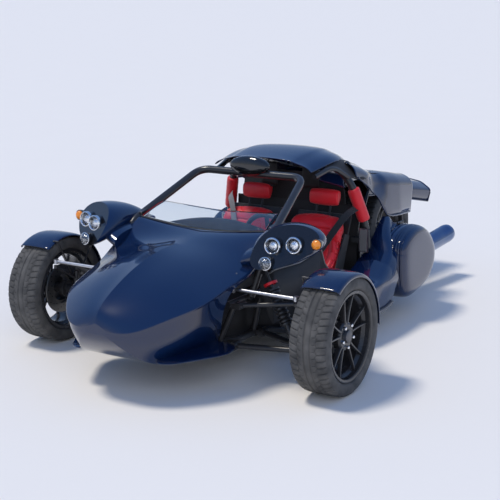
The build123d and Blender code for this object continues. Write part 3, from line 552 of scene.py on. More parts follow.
def paint_finish(name, colour, rough=0.3, dust=0.0):
    """Deep gloss paint under clear coat: faint flake in the colour, faint orange peel, dust low down."""
    finish = Finish(name, metallic=0.0, coat_weight=1.0, coat_roughness=0.02, roughness=rough,
                    specular_ior_level=0.05)
    finish.set(coat_ior=1.68)
    flake = finish.cells(2600.0)
    tone = finish.blend(finish.steps(flake, 0.1, 0.7), tuple(c * 1.5 for c in colour), colour)
    if dust:
        film = finish.steps(finish.noise(9.0, 5.0), 0.42, 0.75) * dust
        tone = finish.blend(film, tone, (0.11, 0.10, 0.09))
    finish.set(base_color=tone)
    return finish.bump(finish.noise(150.0, 2.0), 0.012, 0.0006).material


def coated_finish(name, colour, rough=0.42, grain=700.0, depth=0.08):
    """Powder coat: fine pebbled bump and slightly uneven sheen."""
    finish = Finish(name, coat_weight=0.25, coat_roughness=0.3)
    blotch = finish.noise(14.0, 4.0)
    finish.set(base_color=finish.blend(blotch, colour, tuple(min(1.0, c * 1.6 + 0.004) for c in colour)))
    finish.set(roughness=finish.steps(blotch, -1.2, 3.6) * (rough * 2.0))
    return finish.bump(finish.noise(grain, 2.0), depth, 0.0008).material


def moulded_finish(name, colour, rough=0.6):
    """Moulded plastic: leathery cells pressed into the surface."""
    finish = Finish(name, roughness=rough, specular_ior_level=0.4)
    cells = finish.cells(420.0)
    pale = tuple(c * 1.5 + 0.004 for c in colour)
    finish.set(base_color=finish.blend(finish.noise(6.0, 4.0), colour, pale))
    return finish.bump(cells, 0.22, 0.0006).material


def metal_finish(name, colour, rough=0.3, wear=0.15):
    """Bare metal with fine tool marks and uneven polish."""
    finish = Finish(name, metallic=1.0)
    marks = finish.noise(220.0)
    smear = finish.noise(12.0, 4.0)
    finish.set(base_color=finish.blend(smear * wear, colour, tuple(c * 0.45 for c in colour)))
    finish.set(roughness=smear * 0.12 + (rough - 0.06))
    return finish.bump(marks, 0.06, 0.0005).material


def chrome_finish(name):
    """Bright plating."""
    finish = Finish(name, metallic=1.0)
    finish.set(base_color=finish.blend(finish.noise(20.0, 3.0) * 0.25, (0.86, 0.87, 0.88), (0.5, 0.5, 0.52)))
    finish.set(roughness=finish.noise(35.0, 3.0) * 0.08 + 0.02)
    return finish.material


def rubber_finish(name, dust=0.7):
    """Tyre rubber: dull black with road dust and fine mould marks."""
    finish = Finish(name, specular_ior_level=0.3)
    film = finish.steps(finish.noise(16.0, 6.0), 0.35, 0.8) * dust
    finish.set(base_color=finish.blend(film, (0.050, 0.050, 0.051), (0.15, 0.145, 0.14)))
    finish.set(roughness=finish.noise(60.0, 3.0) * 0.2 + 0.62)
    return finish.bump(finish.noise(900.0, 2.0), 0.15, 0.0005).material


def vinyl_finish(name, colour, rough=0.42):
    """Seat vinyl: creased grain, softer colour in the folds and a low sheen."""
    finish = Finish(name, sheen_weight=0.12, specular_ior_level=0.5)
    cells = finish.cells(330.0)
    fold_shade_noise = finish.noise(7.0, 4.0)
    # Darker red for painted shade in the creases and in the pits of the grain.
    shade_colour = tuple(c * 0.62 for c in colour)
    tone = finish.blend(fold_shade_noise, shade_colour, tuple(min(1.0, c * 1.25) for c in colour))
    # The grain's pits are painted darker: painted shade.
    finish.set(base_color=finish.blend(finish.steps(cells, 0.0, 0.25), shade_colour, tone))
    finish.set(roughness=fold_shade_noise * 0.2 + (rough - 0.1))
    return finish.bump(finish.steps(cells, 0.0, 0.35) + finish.noise(40.0, 3.0) * 0.8, 0.3, 0.0008).material


def web_finish(name, colour):
    """Woven belt: ribs across its map, thread by thread."""
    finish = Finish(name, roughness=0.72, sheen_weight=0.3)
    place = finish.place((240.0, 14.0, 1.0), True)
    ribs, rows = (
        finish.node("ShaderNodeTexWave", {"bands_direction": way},
                    {"Vector": place, "Scale": 1.0, "Distortion": bend}, 1)
        for way, bend in (("X", 0.6), ("Y", 0.0)))
    # Darker colour in the grooves between the ribs: painted shade.
    finish.set(base_color=finish.blend(ribs, tuple(c * 0.55 for c in colour), colour))
    return finish.bump(ribs + rows * 0.5, 0.5, 0.0006).material


def mesh_finish(name):
    """Woven metal grille: dark wires with open holes between them."""
    finish = Finish(name, roughness=0.45, metallic=0.6, base_color=(0.03, 0.03, 0.032))
    place = finish.place()
    parts = [finish.node("ShaderNodeSeparateXYZ", {}, {0: place}, part) for part in (0, 2)]
    waves = [(part * 900.0).math("SINE").math("ABSOLUTE") for part in parts]
    finish.set(alpha=waves[0].math("MINIMUM", waves[1]).math("LESS_THAN", 0.72))
    return finish.material


def clear_finish(name, colour, alpha=1.0):
    """Clear sheet or lens, with a trace of smear."""
    finish = Finish(name, transmission_weight=1.0, ior=1.45, base_color=colour)
    finish.set(roughness=finish.noise(8.0, 4.0) * 0.03 + 0.01, alpha=alpha)
    return finish.material


def lens_finish(name, colour, glow=0.0):
    """Coloured lens with moulded flutes."""
    finish = Finish(name, transmission_weight=0.35, ior=1.45, coat_weight=1.0, coat_roughness=0.05)
    flutes = finish.cells(170.0)
    finish.set(base_color=finish.blend(flutes, colour, tuple(c * 0.7 for c in colour)), roughness=0.15)
    if glow:
        finish.set(emission_color=colour, emission_strength=glow)
    return finish.bump(flutes, 0.4, 0.001).material


def fluted_finish(name):
    """Bright bowl seen through fluted glass."""
    finish = Finish(name, metallic=0.9, coat_weight=1.0, coat_roughness=0.02)
    flutes = finish.cells(150.0)
    # Bright flute middles and dark flute edges: painted highlights and painted shade.
    finish.set(base_color=finish.blend(flutes * 1.6, (0.80, 0.82, 0.85), (0.10, 0.11, 0.12)), roughness=0.14)
    return finish.bump(flutes, 0.9, 0.003).material


def steel_can_finish(name):
    """Blued steel: brushed along its length, from straw near the seam to blue."""
    finish = Finish(name, metallic=1.0, coat_weight=0.6, coat_roughness=0.04)
    heat = finish.noise(3.0, 3.0)
    stops = [(0.0, (0.05, 0.10, 0.24, 1.0)), (0.55, (0.10, 0.16, 0.30, 1.0)), (1.0, (0.30, 0.32, 0.36, 1.0))]
    finish.set(base_color=finish.node("ShaderNodeValToRGB", {"stops": stops}, {0: heat}))
    marks = finish.noise(90.0, 3.0, (1.0, 0.05, 1.0))
    finish.set(roughness=marks * 0.10 + 0.12)
    return finish.bump(marks, 0.05, 0.0004).material


def floor_finish(name, colour):
    """Plain pale floor."""
    finish = Finish(name, roughness=0.85, specular_ior_level=0.1)
    finish.set(base_color=finish.blend(finish.noise(1.5, 3.0), colour, tuple(c * 0.98 for c in colour)))
    return finish.material


# What a user would change

class RoadsterColours(bpy.types.PropertyGroup):
    """Finishes of the body, seats and metal."""
    body: FloatVectorProperty(
        name="Body paint", description="Colour under the clear coat", subtype="COLOR",
        default=(0.002, 0.010, 0.042), min=0.0, max=1.0)
    trim: FloatVectorProperty(
        name="Trim", description="Powder coat of tubes and brackets", subtype="COLOR",
        default=(0.014, 0.014, 0.016), min=0.0, max=1.0)
    seat: FloatVectorProperty(
        name="Seat vinyl", description="Colour of seats, headrests and pads", subtype="COLOR",
        default=(0.62, 0.012, 0.022), min=0.0, max=1.0)
    wheel: FloatVectorProperty(
        name="Wheels", description="Satin paint of the rims", subtype="COLOR",
        default=(0.012, 0.012, 0.014), min=0.0, max=1.0)
    signal: FloatVectorProperty(
        name="Signal lens", description="Turn signal lens", subtype="COLOR",
        default=(0.95, 0.30, 0.02), min=0.0, max=1.0)
    floor: FloatVectorProperty(
        name="Floor", description="Studio floor", subtype="COLOR",
        default=(0.80, 0.775, 0.74), min=0.0, max=1.0)


class RoadsterSizes(bpy.types.PropertyGroup):
    """Walls, details and the camera."""
    skin: FloatProperty(
        name="Panel wall", description="Thickness of the moulded panels", unit="LENGTH",
        default=0.005, min=0.001)
    screen: FloatProperty(
        name="Screen wall", description="Thickness of the windscreen", unit="LENGTH",
        default=0.004, min=0.001)
    tread: FloatProperty(
        name="Tread depth", description="Depth of the tread grooves", unit="LENGTH", default=0.0065, min=0.0)
    pitches: IntProperty(
        name="Tread pitches", description="Repeats of the tread around a tyre", default=54, min=8)
    lens: FloatProperty(
        name="Lens", description="Focal length of the camera in millimetres", default=80.8, min=10.0)
    lamp: FloatProperty(
        name="Lamp level", description="Level of the studio lamps", default=1.0, min=0.0)


def colours():
    return bpy.context.scene.roadster_colours


def sizes():
    return bpy.context.scene.roadster_sizes


FINISHES = {}


def finish_table():
    """Maker and values of every finish."""
    tone = colours()
    return {
        "body_paint": (paint_finish, tuple(tone.body)),
        "fender_paint": (paint_finish, tuple(tone.body), 0.3, 0.10),
        "tube_black": (coated_finish, tuple(tone.trim), 0.34),
        "frame_black": (coated_finish, tuple(tone.trim), 0.5),
        "wheel_paint": (coated_finish, tuple(tone.wheel), 0.36, 500.0, 0.03),
        "liner_black": (moulded_finish, (0.016, 0.016, 0.018)),
        "grey_trim": (coated_finish, (0.10, 0.10, 0.105), 0.5, 500.0, 0.05),
        "gloss_black": (paint_finish, (0.006, 0.006, 0.007), 0.15),
        "dull_black": (moulded_finish, (0.008, 0.008, 0.009), 0.8),
        "chrome": (chrome_finish,),
        "alloy": (metal_finish, (0.58, 0.58, 0.60), 0.34),
        "dark_alloy": (metal_finish, (0.16, 0.16, 0.17), 0.42),
        "disc_steel": (metal_finish, (0.38, 0.37, 0.36), 0.35, 0.5),
        "tread_rubber": (rubber_finish,),
        "hose_rubber": (rubber_finish, 0.1),
        "seat_red": (vinyl_finish, tuple(tone.seat)),
        "seat_black": (vinyl_finish, (0.012, 0.012, 0.013), 0.5),
        "belt_grey": (web_finish, (0.20, 0.20, 0.21)),
        "belt_black": (web_finish, (0.015, 0.015, 0.016)),
        "grille": (mesh_finish,),
        "clear_screen": (clear_finish, (0.9, 0.95, 0.95)),
        "lamp_glass": (clear_finish, (0.97, 0.98, 1.0), 0.3),
        "reflector": (metal_finish, (0.90, 0.91, 0.93), 0.24, 0.05),
        "fog_glass": (fluted_finish,),
        "collar_red": (coated_finish, (0.45, 0.01, 0.015), 0.4),
        "signal_amber": (lens_finish, tuple(tone.signal), 0.25),
        "tail_red": (lens_finish, (0.6, 0.01, 0.01), 0.05),
        "blued_steel": (steel_can_finish,),
        "mirror_glass": (chrome_finish,),
        "studio_floor": (floor_finish, tuple(tone.floor)),
    }


def finish(name):
    """The material of one finish, made when it is first asked for."""
    if name not in FINISHES:
        maker, *values = finish_table()[name]
        FINISHES[name] = maker(name, *values)
    return FINISHES[name]


# Front body

# Nose stations: behind the axle, half width, shoulder, ridge, half width of the floor, height of the floor
NOSE_STATIONS = (
    (-745, 60, 372, 398, 50, 350),
    (-738, 112, 370, 418, 84, 330),
    (-708, 190, 378, 462, 130, 288),
    (-618, 284, 416, 522, 190, 214),
    (-490, 368, 457, 580, 225, 172),
    (-331, 410, 497, 628, 240, 150),
    (-145, 435, 545, 657, 250, 132),
    (40, 437, 645, 676, 255, 122),
    (200, 442, 722, 692, 260, 112),
)
# Outline of the wheel arch: behind, height
ARCH = ((-60, 60), (-118, 150), (-150, 240), (-212, 330), (-228, 404), (-210, 484), (-150, 526), (40, 584),
        (260, 640), (260, 60))
# Crease down the nose: height, reach to each side, run over which it fades towards the screen
RIDGE = (0.0075, 0.030, 0.35)


def nose_net():
    """Half sections of the nose from its ridge over the shoulder down the undercut side to the floor."""
    rows = []
    for behind, wide, shoulder, ridge, low_wide, low in NOSE_STATIONS:
        rise, drop = ridge - shoulder, shoulder - low
        line = [
            (0, ridge),
            (0.34 * wide, ridge - 0.17 * rise),
            (0.66 * wide, shoulder + 0.53 * rise),
            (0.90 * wide, shoulder + 0.19 * rise),
            (1.00 * wide, shoulder + 0.03 * rise),
            (1.01 * wide, shoulder - 0.01 * drop),
            (0.985 * wide, shoulder - 0.08 * drop),
            (0.90 * wide + 0.06 * low_wide, shoulder - 0.26 * drop),
            (0.66 * wide + 0.34 * low_wide, low + 0.42 * drop),
            (low_wide + 8, low + 0.08 * drop),
            (low_wide, low),
        ]
        rows.append([(x, behind, z) for x, z in line])
    return at(rows)


def ridge_line(grid):
    """Raises the middle of the nose into a crisp crease that falls off sideways and towards the screen."""
    height, reach, run = RIDGE
    fade = np.clip((at((0, 60, 0))[1] - grid[..., 1]) / run, 0, 1)
    grid = grid.copy()
    grid[..., 2] += height * fade * np.exp(-np.abs(grid[..., 0]) / reach)
    return grid


def arch_cutter():
    """Closed block across the whole width with the wheel arch's outline."""
    wide = 1.3
    start = at(smooth_line([(0, y, z) for y, z in ARCH], 80)) - (wide, 0, 0)
    middle = start.mean(axis=0) + (wide, 0, 0)
    return mesh_from_grids("arch_cutter", [prism_grid(start, (2 * wide, 0, 0))], 40.0, middle)


def hood():
    """Ridged nose skin with its front closed, its floor pan and a wheel arch cut through each side."""
    half = ridge_line(panel_grid(nose_net(), 120, 72))
    other = half[:, ::-1] * (-1, 1, 1)
    skin = np.concatenate([other, half[:, 1:]], axis=1)
    floor_edge = np.stack([half[:, -1], half[:, -1] * (-1, 1, 1)], axis=1)
    tip = np.broadcast_to(skin[:1].mean(axis=1, keepdims=True), skin[:1].shape) - (0, 0.0005, 0)
    under_tip = np.stack([tip[0, :2], floor_edge[0]])
    middle = skin.mean(axis=(0, 1))
    nose = mesh_from_grids("hood", [np.concatenate([tip, skin]), floor_edge, under_tip], 40.0, middle)
    solid_from(nose, sizes().skin)
    carved(nose, arch_cutter())
    settle(nose, 17.0, middle)
    evened(nose)
    placed(nose, "body_paint", "navy_paint", "nose_shell")


def blades():
    """Thin splitter blade low on each side of the nose, turned down at its outer edge."""
    edge = [(236, -585), (300, -560), (360, -470), (432, -330), (402, -150)]
    root = [(228, -570), (232, -500), (238, -400), (250, -300), (262, -150)]
    rows = [[(x0, y0, 214), ((x0 + x1) / 2, (y0 + y1) / 2, 213), (x1, y1, 209), (x1 + 1, y1, 200)]
            for (x0, y0), (x1, y1) in zip(root, edge)]
    blade = mesh_from_grids("splitter_blades", [panel_grid(net, 40, 12) for net in both(rows)], 40.0)
    placed(solid_from(blade, 0.006), "body_paint", "navy_paint", "nose_splitters")


# Lamp pods

# Pod stations: behind, centre x, centre height, half width, half height
POD_STATIONS = (
    (-160, 540, 628, 26, 14),
    (-135, 545, 634, 60, 32),
    (-80, 556, 660, 100, 58),
    (0, 580, 695, 142, 85),
    (120, 598, 716, 158, 85),
    (220, 580, 710, 138, 74),
    (320, 545, 690, 86, 46),
    (400, 500, 672, 26, 14),
)
# Neck stations: x, behind, height, half length, half height
NECK_STATIONS = ((396, 110, 618, 190, 62), (450, 110, 640, 180, 62), (520, 112, 664, 160, 60),
                 (580, 118, 690, 118, 56))
# Left lamps: name, x, behind, height, radius; the signal likewise; and the direction that they look in
LAMPS = (("inner", 558, -38, 709, 43), ("outer", 653, 6, 714, 43), ("fog", 563, -121, 637, 33))
SIGNAL = (748, 60, 718, 25)
LAMP_AXIS = (0.10, -1.0, 0.10)


def pod_egg():
    """Egg of ellipses along the left pod."""
    rows, angle = smooth_line(POD_STATIONS, 64, True), full_turn(56)
    behind, x, z, half_wide, half_high = (rows[:, k:k + 1] for k in range(5))
    return at(points_of(x + half_wide * np.cos(angle), behind, z + half_high * np.sin(angle)))


def faced(obj, point, direction):
    """Cuts a closed shape by a plane, keeps the side away from direction and closes the cut."""
    work = bmesh.new()
    work.from_mesh(obj.data)
    whole = work.verts[:] + work.edges[:] + work.faces[:]
    cut = bmesh.ops.bisect_plane(work, geom=whole, plane_co=point, plane_no=direction, clear_outer=True)
    rim = [edge for edge in cut["geom_cut"] if isinstance(edge, bmesh.types.BMEdge)]
    for part in bmesh.ops.contextual_create(work, geom=rim)["faces"]:
        part.material_index = 1
    work.to_mesh(obj.data)
    work.free()
    return obj


# A point of the pod's cut face, left side, and the direction that it looks in
POD_FACE = (594, -22, 688)
POD_LOOK = (0.46, -1.0, 0.9)


def lamp_pods():
    """Painted pod each side, cut to a raked black face that carries its lamps."""
    pods = []
    for _, side in SIDES:
        flip = (side, 1, 1)
        pod = mesh_from_grids("pod", [capped(pod_egg() * flip)], 40.0, at((570, 100, 690)) * flip)
        pod.data.materials.append(finish("body_paint"))
        # Gloss black on the cut face in place of the pod's navy paint: painted shade.
        pod.data.materials.append(finish("gloss_black"))
        faced(pod, at(POD_FACE) * flip, np.multiply(POD_LOOK, flip))
        softened(pod, 0.009, 4, 30.0)
        baked(pod)
        settle(pod, 50.0)
        pods.append(evened(pod))
    placed(joined("lamp_pod_shells", pods), None, "navy_paint", "lamp_pods")


def pod_necks():
    """Swollen neck of ellipses between each pod and the nose."""
    rings, angle = smooth_line(NECK_STATIONS, 20), full_turn(40)
    x, behind, z, half_long, half_high = (rings[:, k:k + 1] for k in range(5))
    neck = points_of(x, behind + half_long * np.cos(angle), z + half_high * np.sin(angle))
    grid_piece("pod_necks", [capped(points) for points in both(neck)], 40.0, "body_paint", "navy_paint")


def lamp_parts():
    """Bezel, bowl, bright eye and cover of each lamp, from profiles turned about the lamp's axis.
    The fog lamp has a fluted dome over a plain ring instead."""
    metal, eyes, cans, covers, domes = [], [], [], [], []
    for _, side in SIDES:
        for label, x, behind, z, radius in LAMPS:
            centre, axis = at((x * side, behind, z)), np.multiply(LAMP_AXIS, (side, 1, 1))
            r = radius * MM

            def turn(store, profile, count=56, steps=0):
                if steps:
                    profile = smooth_line(profile, steps)
                store.append(turned(profile, centre, axis, count))

            turn(cans, [(-0.070, 0.0), (-0.070, r - 0.004), (-0.020, r - 0.0015), (0.003, r - 0.0015)], 40)
            if label == "fog":
                turn(metal, [(0.000, r), (0.006, r), (0.007, r - 0.003), (0.004, r - 0.004)])
                dome = [(0.004, r - 0.003), (0.013, r * 0.86), (0.021, r * 0.45), (0.022, 0.0)]
                turn(domes, dome, steps=16)
                continue
            turn(metal, [(0.000, r), (0.010, r), (0.0145, r - 0.003), (0.0150, r - 0.006), (0.011, r - 0.009),
                         (0.002, r - 0.010)])
            turn(cans, [(0.002, r - 0.010), (-0.012, r * 0.70), (-0.016, r * 0.40), (-0.016, 0.0)], 48, 12)
            turn(eyes, [(-0.014, r * 0.62), (-0.003, r * 0.60), (0.004, r * 0.42), (0.007, r * 0.2),
                        (0.008, 0.0)], 48, 16)
            turn(covers, [(0.009, r - 0.009), (0.012, r * 0.6), (0.015, 0.0)], 48, 10)
    grid_piece("lamp_bezels", metal, 30.0, "chrome", "lamp_glass", "lamps")
    grid_piece("lamp_cans", cans, 30.0, "gloss_black", "lamp_glass")
    grid_piece("lamp_eyes", eyes, 40.0, "reflector", "lamp_glass")
    grid_piece("fog_domes", domes, 40.0, "fog_glass", "lamp_glass")
    solid_from(grid_piece("lamp_covers", covers, 30.0, "lamp_glass", "lamp_glass"), 0.0015)


def signal_lamps():
    """Domed amber lens each side in a black cup, turned about the lamp's axis."""
    lenses, cups = [], []
    x, behind, z, radius = SIGNAL
    r = radius * MM
    dome = smooth_line([(0.000, r), (0.012, r * 0.97), (0.021, r * 0.6), (0.023, 0.0)], 14)
    cup = [(-0.060, 0.0), (-0.050, r * 0.8), (-0.010, r + 0.004), (0.003, r + 0.004), (0.003, r - 0.001)]
    for _, side in SIDES:
        centre, axis = at((x * side, behind, z)), np.multiply(LAMP_AXIS, (side, 1, 1))
        lenses.append(turned(dome, centre, axis, 40))
        cups.append(turned(cup, centre, axis, 40))
    grid_piece("signal_cups", cups, 30.0, "gloss_black", "amber_lens")
    grid_piece("signal_lenses", lenses, 30.0, "signal_amber", "amber_lens", "turn_signals")


# Screen, hoop and mirror

HOOP = spanned(((384, 40, 410), (446, 112, 690), (340, 668, 934)))
HOOP_R = 0.022
# Low and high edge of the screen, from its left end to its middle
SCREEN_EDGES = (
    ((404, 172, 728), (300, 166, 716), (150, 162, 704), (0, 160, 698)),
    ((378, 345, 792), (250, 345, 786), (120, 346, 778), (0, 347, 774)),
)


def tube_object(name, paths, radius, bend, shade, slot_name, count=20):
    """Round tubes through points in millimetres, joined in one piece."""
    grids = [tube_grid(rounded_path(at(points), bend * MM), radius, count) for points in paths]
    grid_piece(name, grids, 40.0, shade, slot_name)


def mirrored_paths(paths):
    """Paths with their mirror images."""
    return [*paths, *[[(-x, y, z) for x, y, z in path] for path in paths]]


def front_hoop():
    """Front roll hoop, bent over the top, with its damper lugs."""
    grids = [tube_grid(rounded_path(at(HOOP), 0.075, 12), HOOP_R, 28)]
    grids += [tube_grid(at(lug), 0.011, 16) for lug in mirrored_paths([[(411, 72, 535), (455, 70, 540)]])]
    grid_piece("hoop_tube", grids, 40.0, "tube_black", "frame_black", "front_hoop")


def screen():
    """Clear sheet that follows the hood's edge, curved across and leaning back, with a black edge strip."""
    low, high = (spanned(edge)[::-1] for edge in SCREEN_EDGES)
    middle = (low + high) / 2 + (0, -3, 4)
    grid = panel_grid(at([low, middle, high]), 16, 60)
    sheet = solid_from(mesh_from_grids("screen_sheet", [grid], 60.0), sizes().screen)
    placed(sheet, "clear_screen", "clear_screen", "windscreen")
    strip = tube_grid(grid[0] + (0, 0.001, 0.0), 0.0035, 10)
    grid_piece("screen_seal", [strip], 40.0, "hose_rubber", "clear_screen")


def screen_brackets():
    """Small plate at each lower corner of the screen with two bright bolts."""
    plates, bolts = [], []
    plate = [(404, 176, 712), (404, 236, 728), (404, 236, 762), (404, 176, 748)]
    head = [(0.0, 0.008), (0.004, 0.008), (0.007, 0.004), (0.007, 0.0)]
    for _, side in SIDES:
        plates.append(prism_grid(at(plate) * (side, 1, 1), (0.022 * side, 0, 0)))
        for behind, z in ((192, 732), (222, 745)):
            bolts.append(turned(head, at((426 * side, behind, z)), (side, 0, 0), 16))
    softened(grid_piece("screen_plates", plates, 40.0, "tube_black", "frame_black"), 0.003)
    grid_piece("screen_bolts", bolts, 40.0, "chrome", "frame_black")


def mirror_head():
    """Oval mirror on the hoop: domed black back towards the front, bright glass behind."""
    centre = at((0, 650, 977))
    rings = [(-0.030, 0.0), (-0.029, 0.35), (-0.024, 0.68), (-0.012, 0.93), (0.006, 1.0), (0.020, 0.985),
             (0.022, 0.94)]
    shape, angle = smooth_line(rings, 22), full_turn(64)
    along, size = shape[:, :1], shape[:, 1:]
    points = points_of(0.130 * size * np.cos(angle), along, 0.057 * size * np.sin(angle)) + centre
    shell = mesh_from_grids("mirror_back", [(points, False, True)], 40.0, centre)
    placed(shell, "gloss_black", "mirror_shell", "mirror")
    face = np.stack([points[-1], np.broadcast_to(points[-1:].mean(axis=1), points[-1].shape)])
    grid_piece("mirror_face", [(face, False, True)], 40.0, "mirror_glass", "mirror_shell")


# Roof and tail

# Roof stations: behind, half width, height of the edge, height of the middle
ROOF_STATIONS = (
    (790, 322, 948, 1010), (900, 334, 962, 1028), (1121, 335, 975, 1045), (1300, 292, 932, 1014),
    (1450, 250, 880, 962), (1700, 196, 815, 888), (1900, 150, 760, 822),
)
# Section of the roof: share of its half width, share of its rise
ROOF_SECTION = ((-1.0, 0.0), (-0.94, 0.42), (-0.66, 0.72), (-0.62, 0.86), (-0.40, 0.98), (0.0, 1.03),
                (0.40, 0.98), (0.62, 0.86), (0.66, 0.72), (0.94, 0.42), (1.0, 0.0))
# Fairing stations: behind, then (x, height) from the roof's edge over the ridge and down
FAIRING_STATIONS = (
    (1180, (314, 962), (366, 955), (402, 925), (416, 880)),
    (1320, (276, 924), (356, 922), (410, 884), (428, 800)),
    (1440, (242, 888), (346, 885), (416, 840), (438, 722)),
    (1500, (230, 872), (348, 874), (422, 828), (466, 604)),
    (1600, (208, 846), (350, 860), (432, 812), (464, 580)),
    (1750, (176, 804), (350, 836), (440, 786), (458, 566)),
    (1960, (150, 745), (340, 800), (438, 750), (428, 546)),
)
# Dished scoop in the fairing's side: behind, height, reach along, reach up, depth
SCOOP = (1452, 800, 92, 60, 16)


def roof_panel():
    """Roof skin with two long creases, from its front lip down to the spine behind."""
    rows = [[(x * wide, behind, edge + (middle - edge) * rise) for x, rise in ROOF_SECTION]
            for behind, wide, edge, middle in ROOF_STATIONS]
    roof = mesh_from_grids("roof_skin", [panel_grid(at(rows), 80, 60)], 50.0, at((0, 1300, 500)))
    solid_from(roof, sizes().skin)
    softened(roof, 0.0015)
    placed(roof, "body_paint", "navy_paint", "roof_panel")


def end_cap(ring, steps):
    """Rows that close a ring of points: each step is (distance back, share of the ring's own size)."""
    middle = ring.mean(axis=0)
    return np.stack([middle + (ring - middle) * share + (0, back, 0) for back, share in steps])


def rear_fairings():
    """Creased fairing each side, from behind the roof's edge over the ridge and down, closed at its tail.
    The scoop sinks the side by its depth times a bell of distance from its middle."""
    stations = [[(x, behind, z) for x, z in line] for behind, *line in FAIRING_STATIONS]
    rows = creased_rows(stations, 90, 62.0, 9, 11)
    fill = np.linspace(0, 1, 5)[1:-1, None, None]
    columns = np.swapaxes(rows, 0, 1)
    dense = [rows[:, :1]]
    for start, end in zip(columns[:-1], columns[1:]):
        dense.append(np.swapaxes(start[None] * (1 - fill) + end[None] * fill, 0, 1))
        dense.append(end[:, None])
    rows = np.concatenate(dense, axis=1)
    behind, height, along, up, depth = SCOOP
    bump = np.exp(-((rows[..., 1] - behind) / along) ** 4 - ((rows[..., 2] - height) / up) ** 4)
    rows[..., 0] -= depth * bump * (rows[..., 0] > 380)
    edge = rows[-1, -1] + (rows[-1, 0] - rows[-1, -1]) * np.linspace(0, 1, 22)[1:-1, None]
    ring = np.concatenate([rows[-1], edge])
    cap = end_cap(ring, ((0, 1.0), (8, 0.995), (15, 0.975), (19, 0.94), (21, 0.88), (21.5, 0.5), (21.5, 0.0)))
    grids = []
    for skin, end in zip(both(rows), both(cap)):
        grids += [skin, (end, False, True)]
    fairing = solid_from(mesh_from_grids("fairing_skins", grids, 24.0), sizes().skin)
    placed(fairing, "body_paint", "navy_paint", "rear_fairings")
    beads = [tube_grid(line, 0.005, 12) for line in both(rows[2:-1, -1])]
    grid_piece("fairing_edges", beads, 40.0, "body_paint", "navy_paint")


def tail_lamps():
    """Upright oval red lens low on each fairing's rounded end, in a black rim."""
    angle = full_turn(56)
    for name, shape, shade, nodes in (
            ("tail_lamp_rims", ((0.0, 1.2), (12.0, 1.2), (15.0, 1.12), (14.0, 1.01)), "gloss_black", ()),
            ("tail_lamp_lenses", ((0.0, 1.0), (17.0, 1.0), (23.0, 0.86), (26.0, 0.5), (26.5, 0.0)),
             "tail_red", ("tail_lamps",))):
        rings = smooth_line(shape, 16)
        back, size = rings[:, :1], rings[:, 1:]
        oval = points_of(403 + 19 * size * np.cos(angle), 1965 + back, 592 + 42 * size * np.sin(angle))
        grid_piece(name, [(points, False, True) for points in both(oval)], 40.0, shade, "tail_lens", *nodes)


# Tail stations: behind, then half a section as (x, height) from its low edge to its middle
TAIL_STATIONS = (
    (1900, (157, 634), (161, 672), (107, 730), (0, 752)),
    (2200, (161, 604), (179, 666), (133, 718), (0, 745)),
    (2500, (203, 524), (221, 598), (161, 654), (0, 686)),
    (2755, (223, 472), (243, 558), (165, 610), (0, 636)),
)


def tail_fender():
    """Arched spine over the rear tyre that widens to two points behind, with a lip round its open edges."""
    stations = [spanned([(x, behind, z) for x, z in half]) * (-1, 1, 1) for behind, *half in TAIL_STATIONS]
    rows = at(creased_rows(stations, 90, 26.0, 6, 7))
    tail = mesh_from_grids("tail_spine", [rows], 24.0, at((0, 2300, 400)))
    placed(solid_from(tail, sizes().skin), "body_paint", "navy_paint", "tail_fender")
    edge = np.concatenate([rows[:, 0], rows[-1, 1:-1], rows[::-1, -1]])
    grid_piece("tail_lip", [tube_grid(edge, 0.0045, 10)], 40.0, "body_paint", "navy_paint")


# Quarter panel stations up from the sill: inner edge, brow, outer edge
QUARTER_STATIONS = (
    ((478, 1010, 350), (650, 1020, 334), (696, 1026, 312)),
    ((478, 1110, 402), (648, 1120, 386), (692, 1130, 322)),
    ((486, 1200, 452), (640, 1206, 432), (676, 1214, 372)),
    ((494, 1262, 520), (590, 1296, 508), (614, 1306, 476)),
    ((486, 1336, 566), (542, 1384, 556), (558, 1396, 534)),
    ((472, 1440, 604), (500, 1476, 600), (508, 1486, 582)),
)


def shoulder_panels():
    """Panel each side that sweeps from the sill up to the fairing, its outer edge rolled into a lip."""
    stations = []
    for inner, brow, outer in QUARTER_STATIONS:
        edge = np.array(outer, float)
        stations.append([inner, brow, outer, edge + (-4, 12, -8), edge + (-22, 18, -10)])
    rows = creased_rows(stations, 70, 20.0, 24, 8)
    panel = solid_from(mesh_from_grids("shoulder_skins", both(rows), 40.0), 0.004)
    placed(panel, "body_paint", "navy_paint", "shoulder_panels")
    beads = [tube_grid(line, 0.004, 10) for line in both(rows[1:-1, 16])]
    grid_piece("shoulder_edges", beads, 40.0, "body_paint", "navy_paint")


# Wheels

FRONT_TYRE = {"radius": 0.299, "half": 0.1025, "rim": 0.216, "rim_half": 0.095}
REAR_TYRE = {"radius": 0.332, "half": 0.1475, "rim": 0.2286, "rim_half": 0.138}
LUG_CIRCLE = 0.05715


def tyre_line(tyre):
    """Outer profile of a tyre from one bead over the tread to the other, as (across, radius)."""
    r, half, rim, rim_half = tyre["radius"], tyre["half"], tyre["rim"], tyre["rim_half"]
    side = [
        (rim_half - 0.022, rim + 0.001), (rim_half - 0.007, rim + 0.002), (rim_half - 0.006, rim + 0.0135),
        (half - 0.002, rim + 0.024), (half, (r + rim) / 2 + 0.004), (half - 0.003, r - 0.022),
        (half - 0.008, r - 0.010), (half - 0.020, r - 0.0035), (half * 0.55, r - 0.0008), (half * 0.2, r),
    ]
    line = [(-x, y) for x, y in side] + [(0.0, r)] + side[::-1]
    return np.array(line)


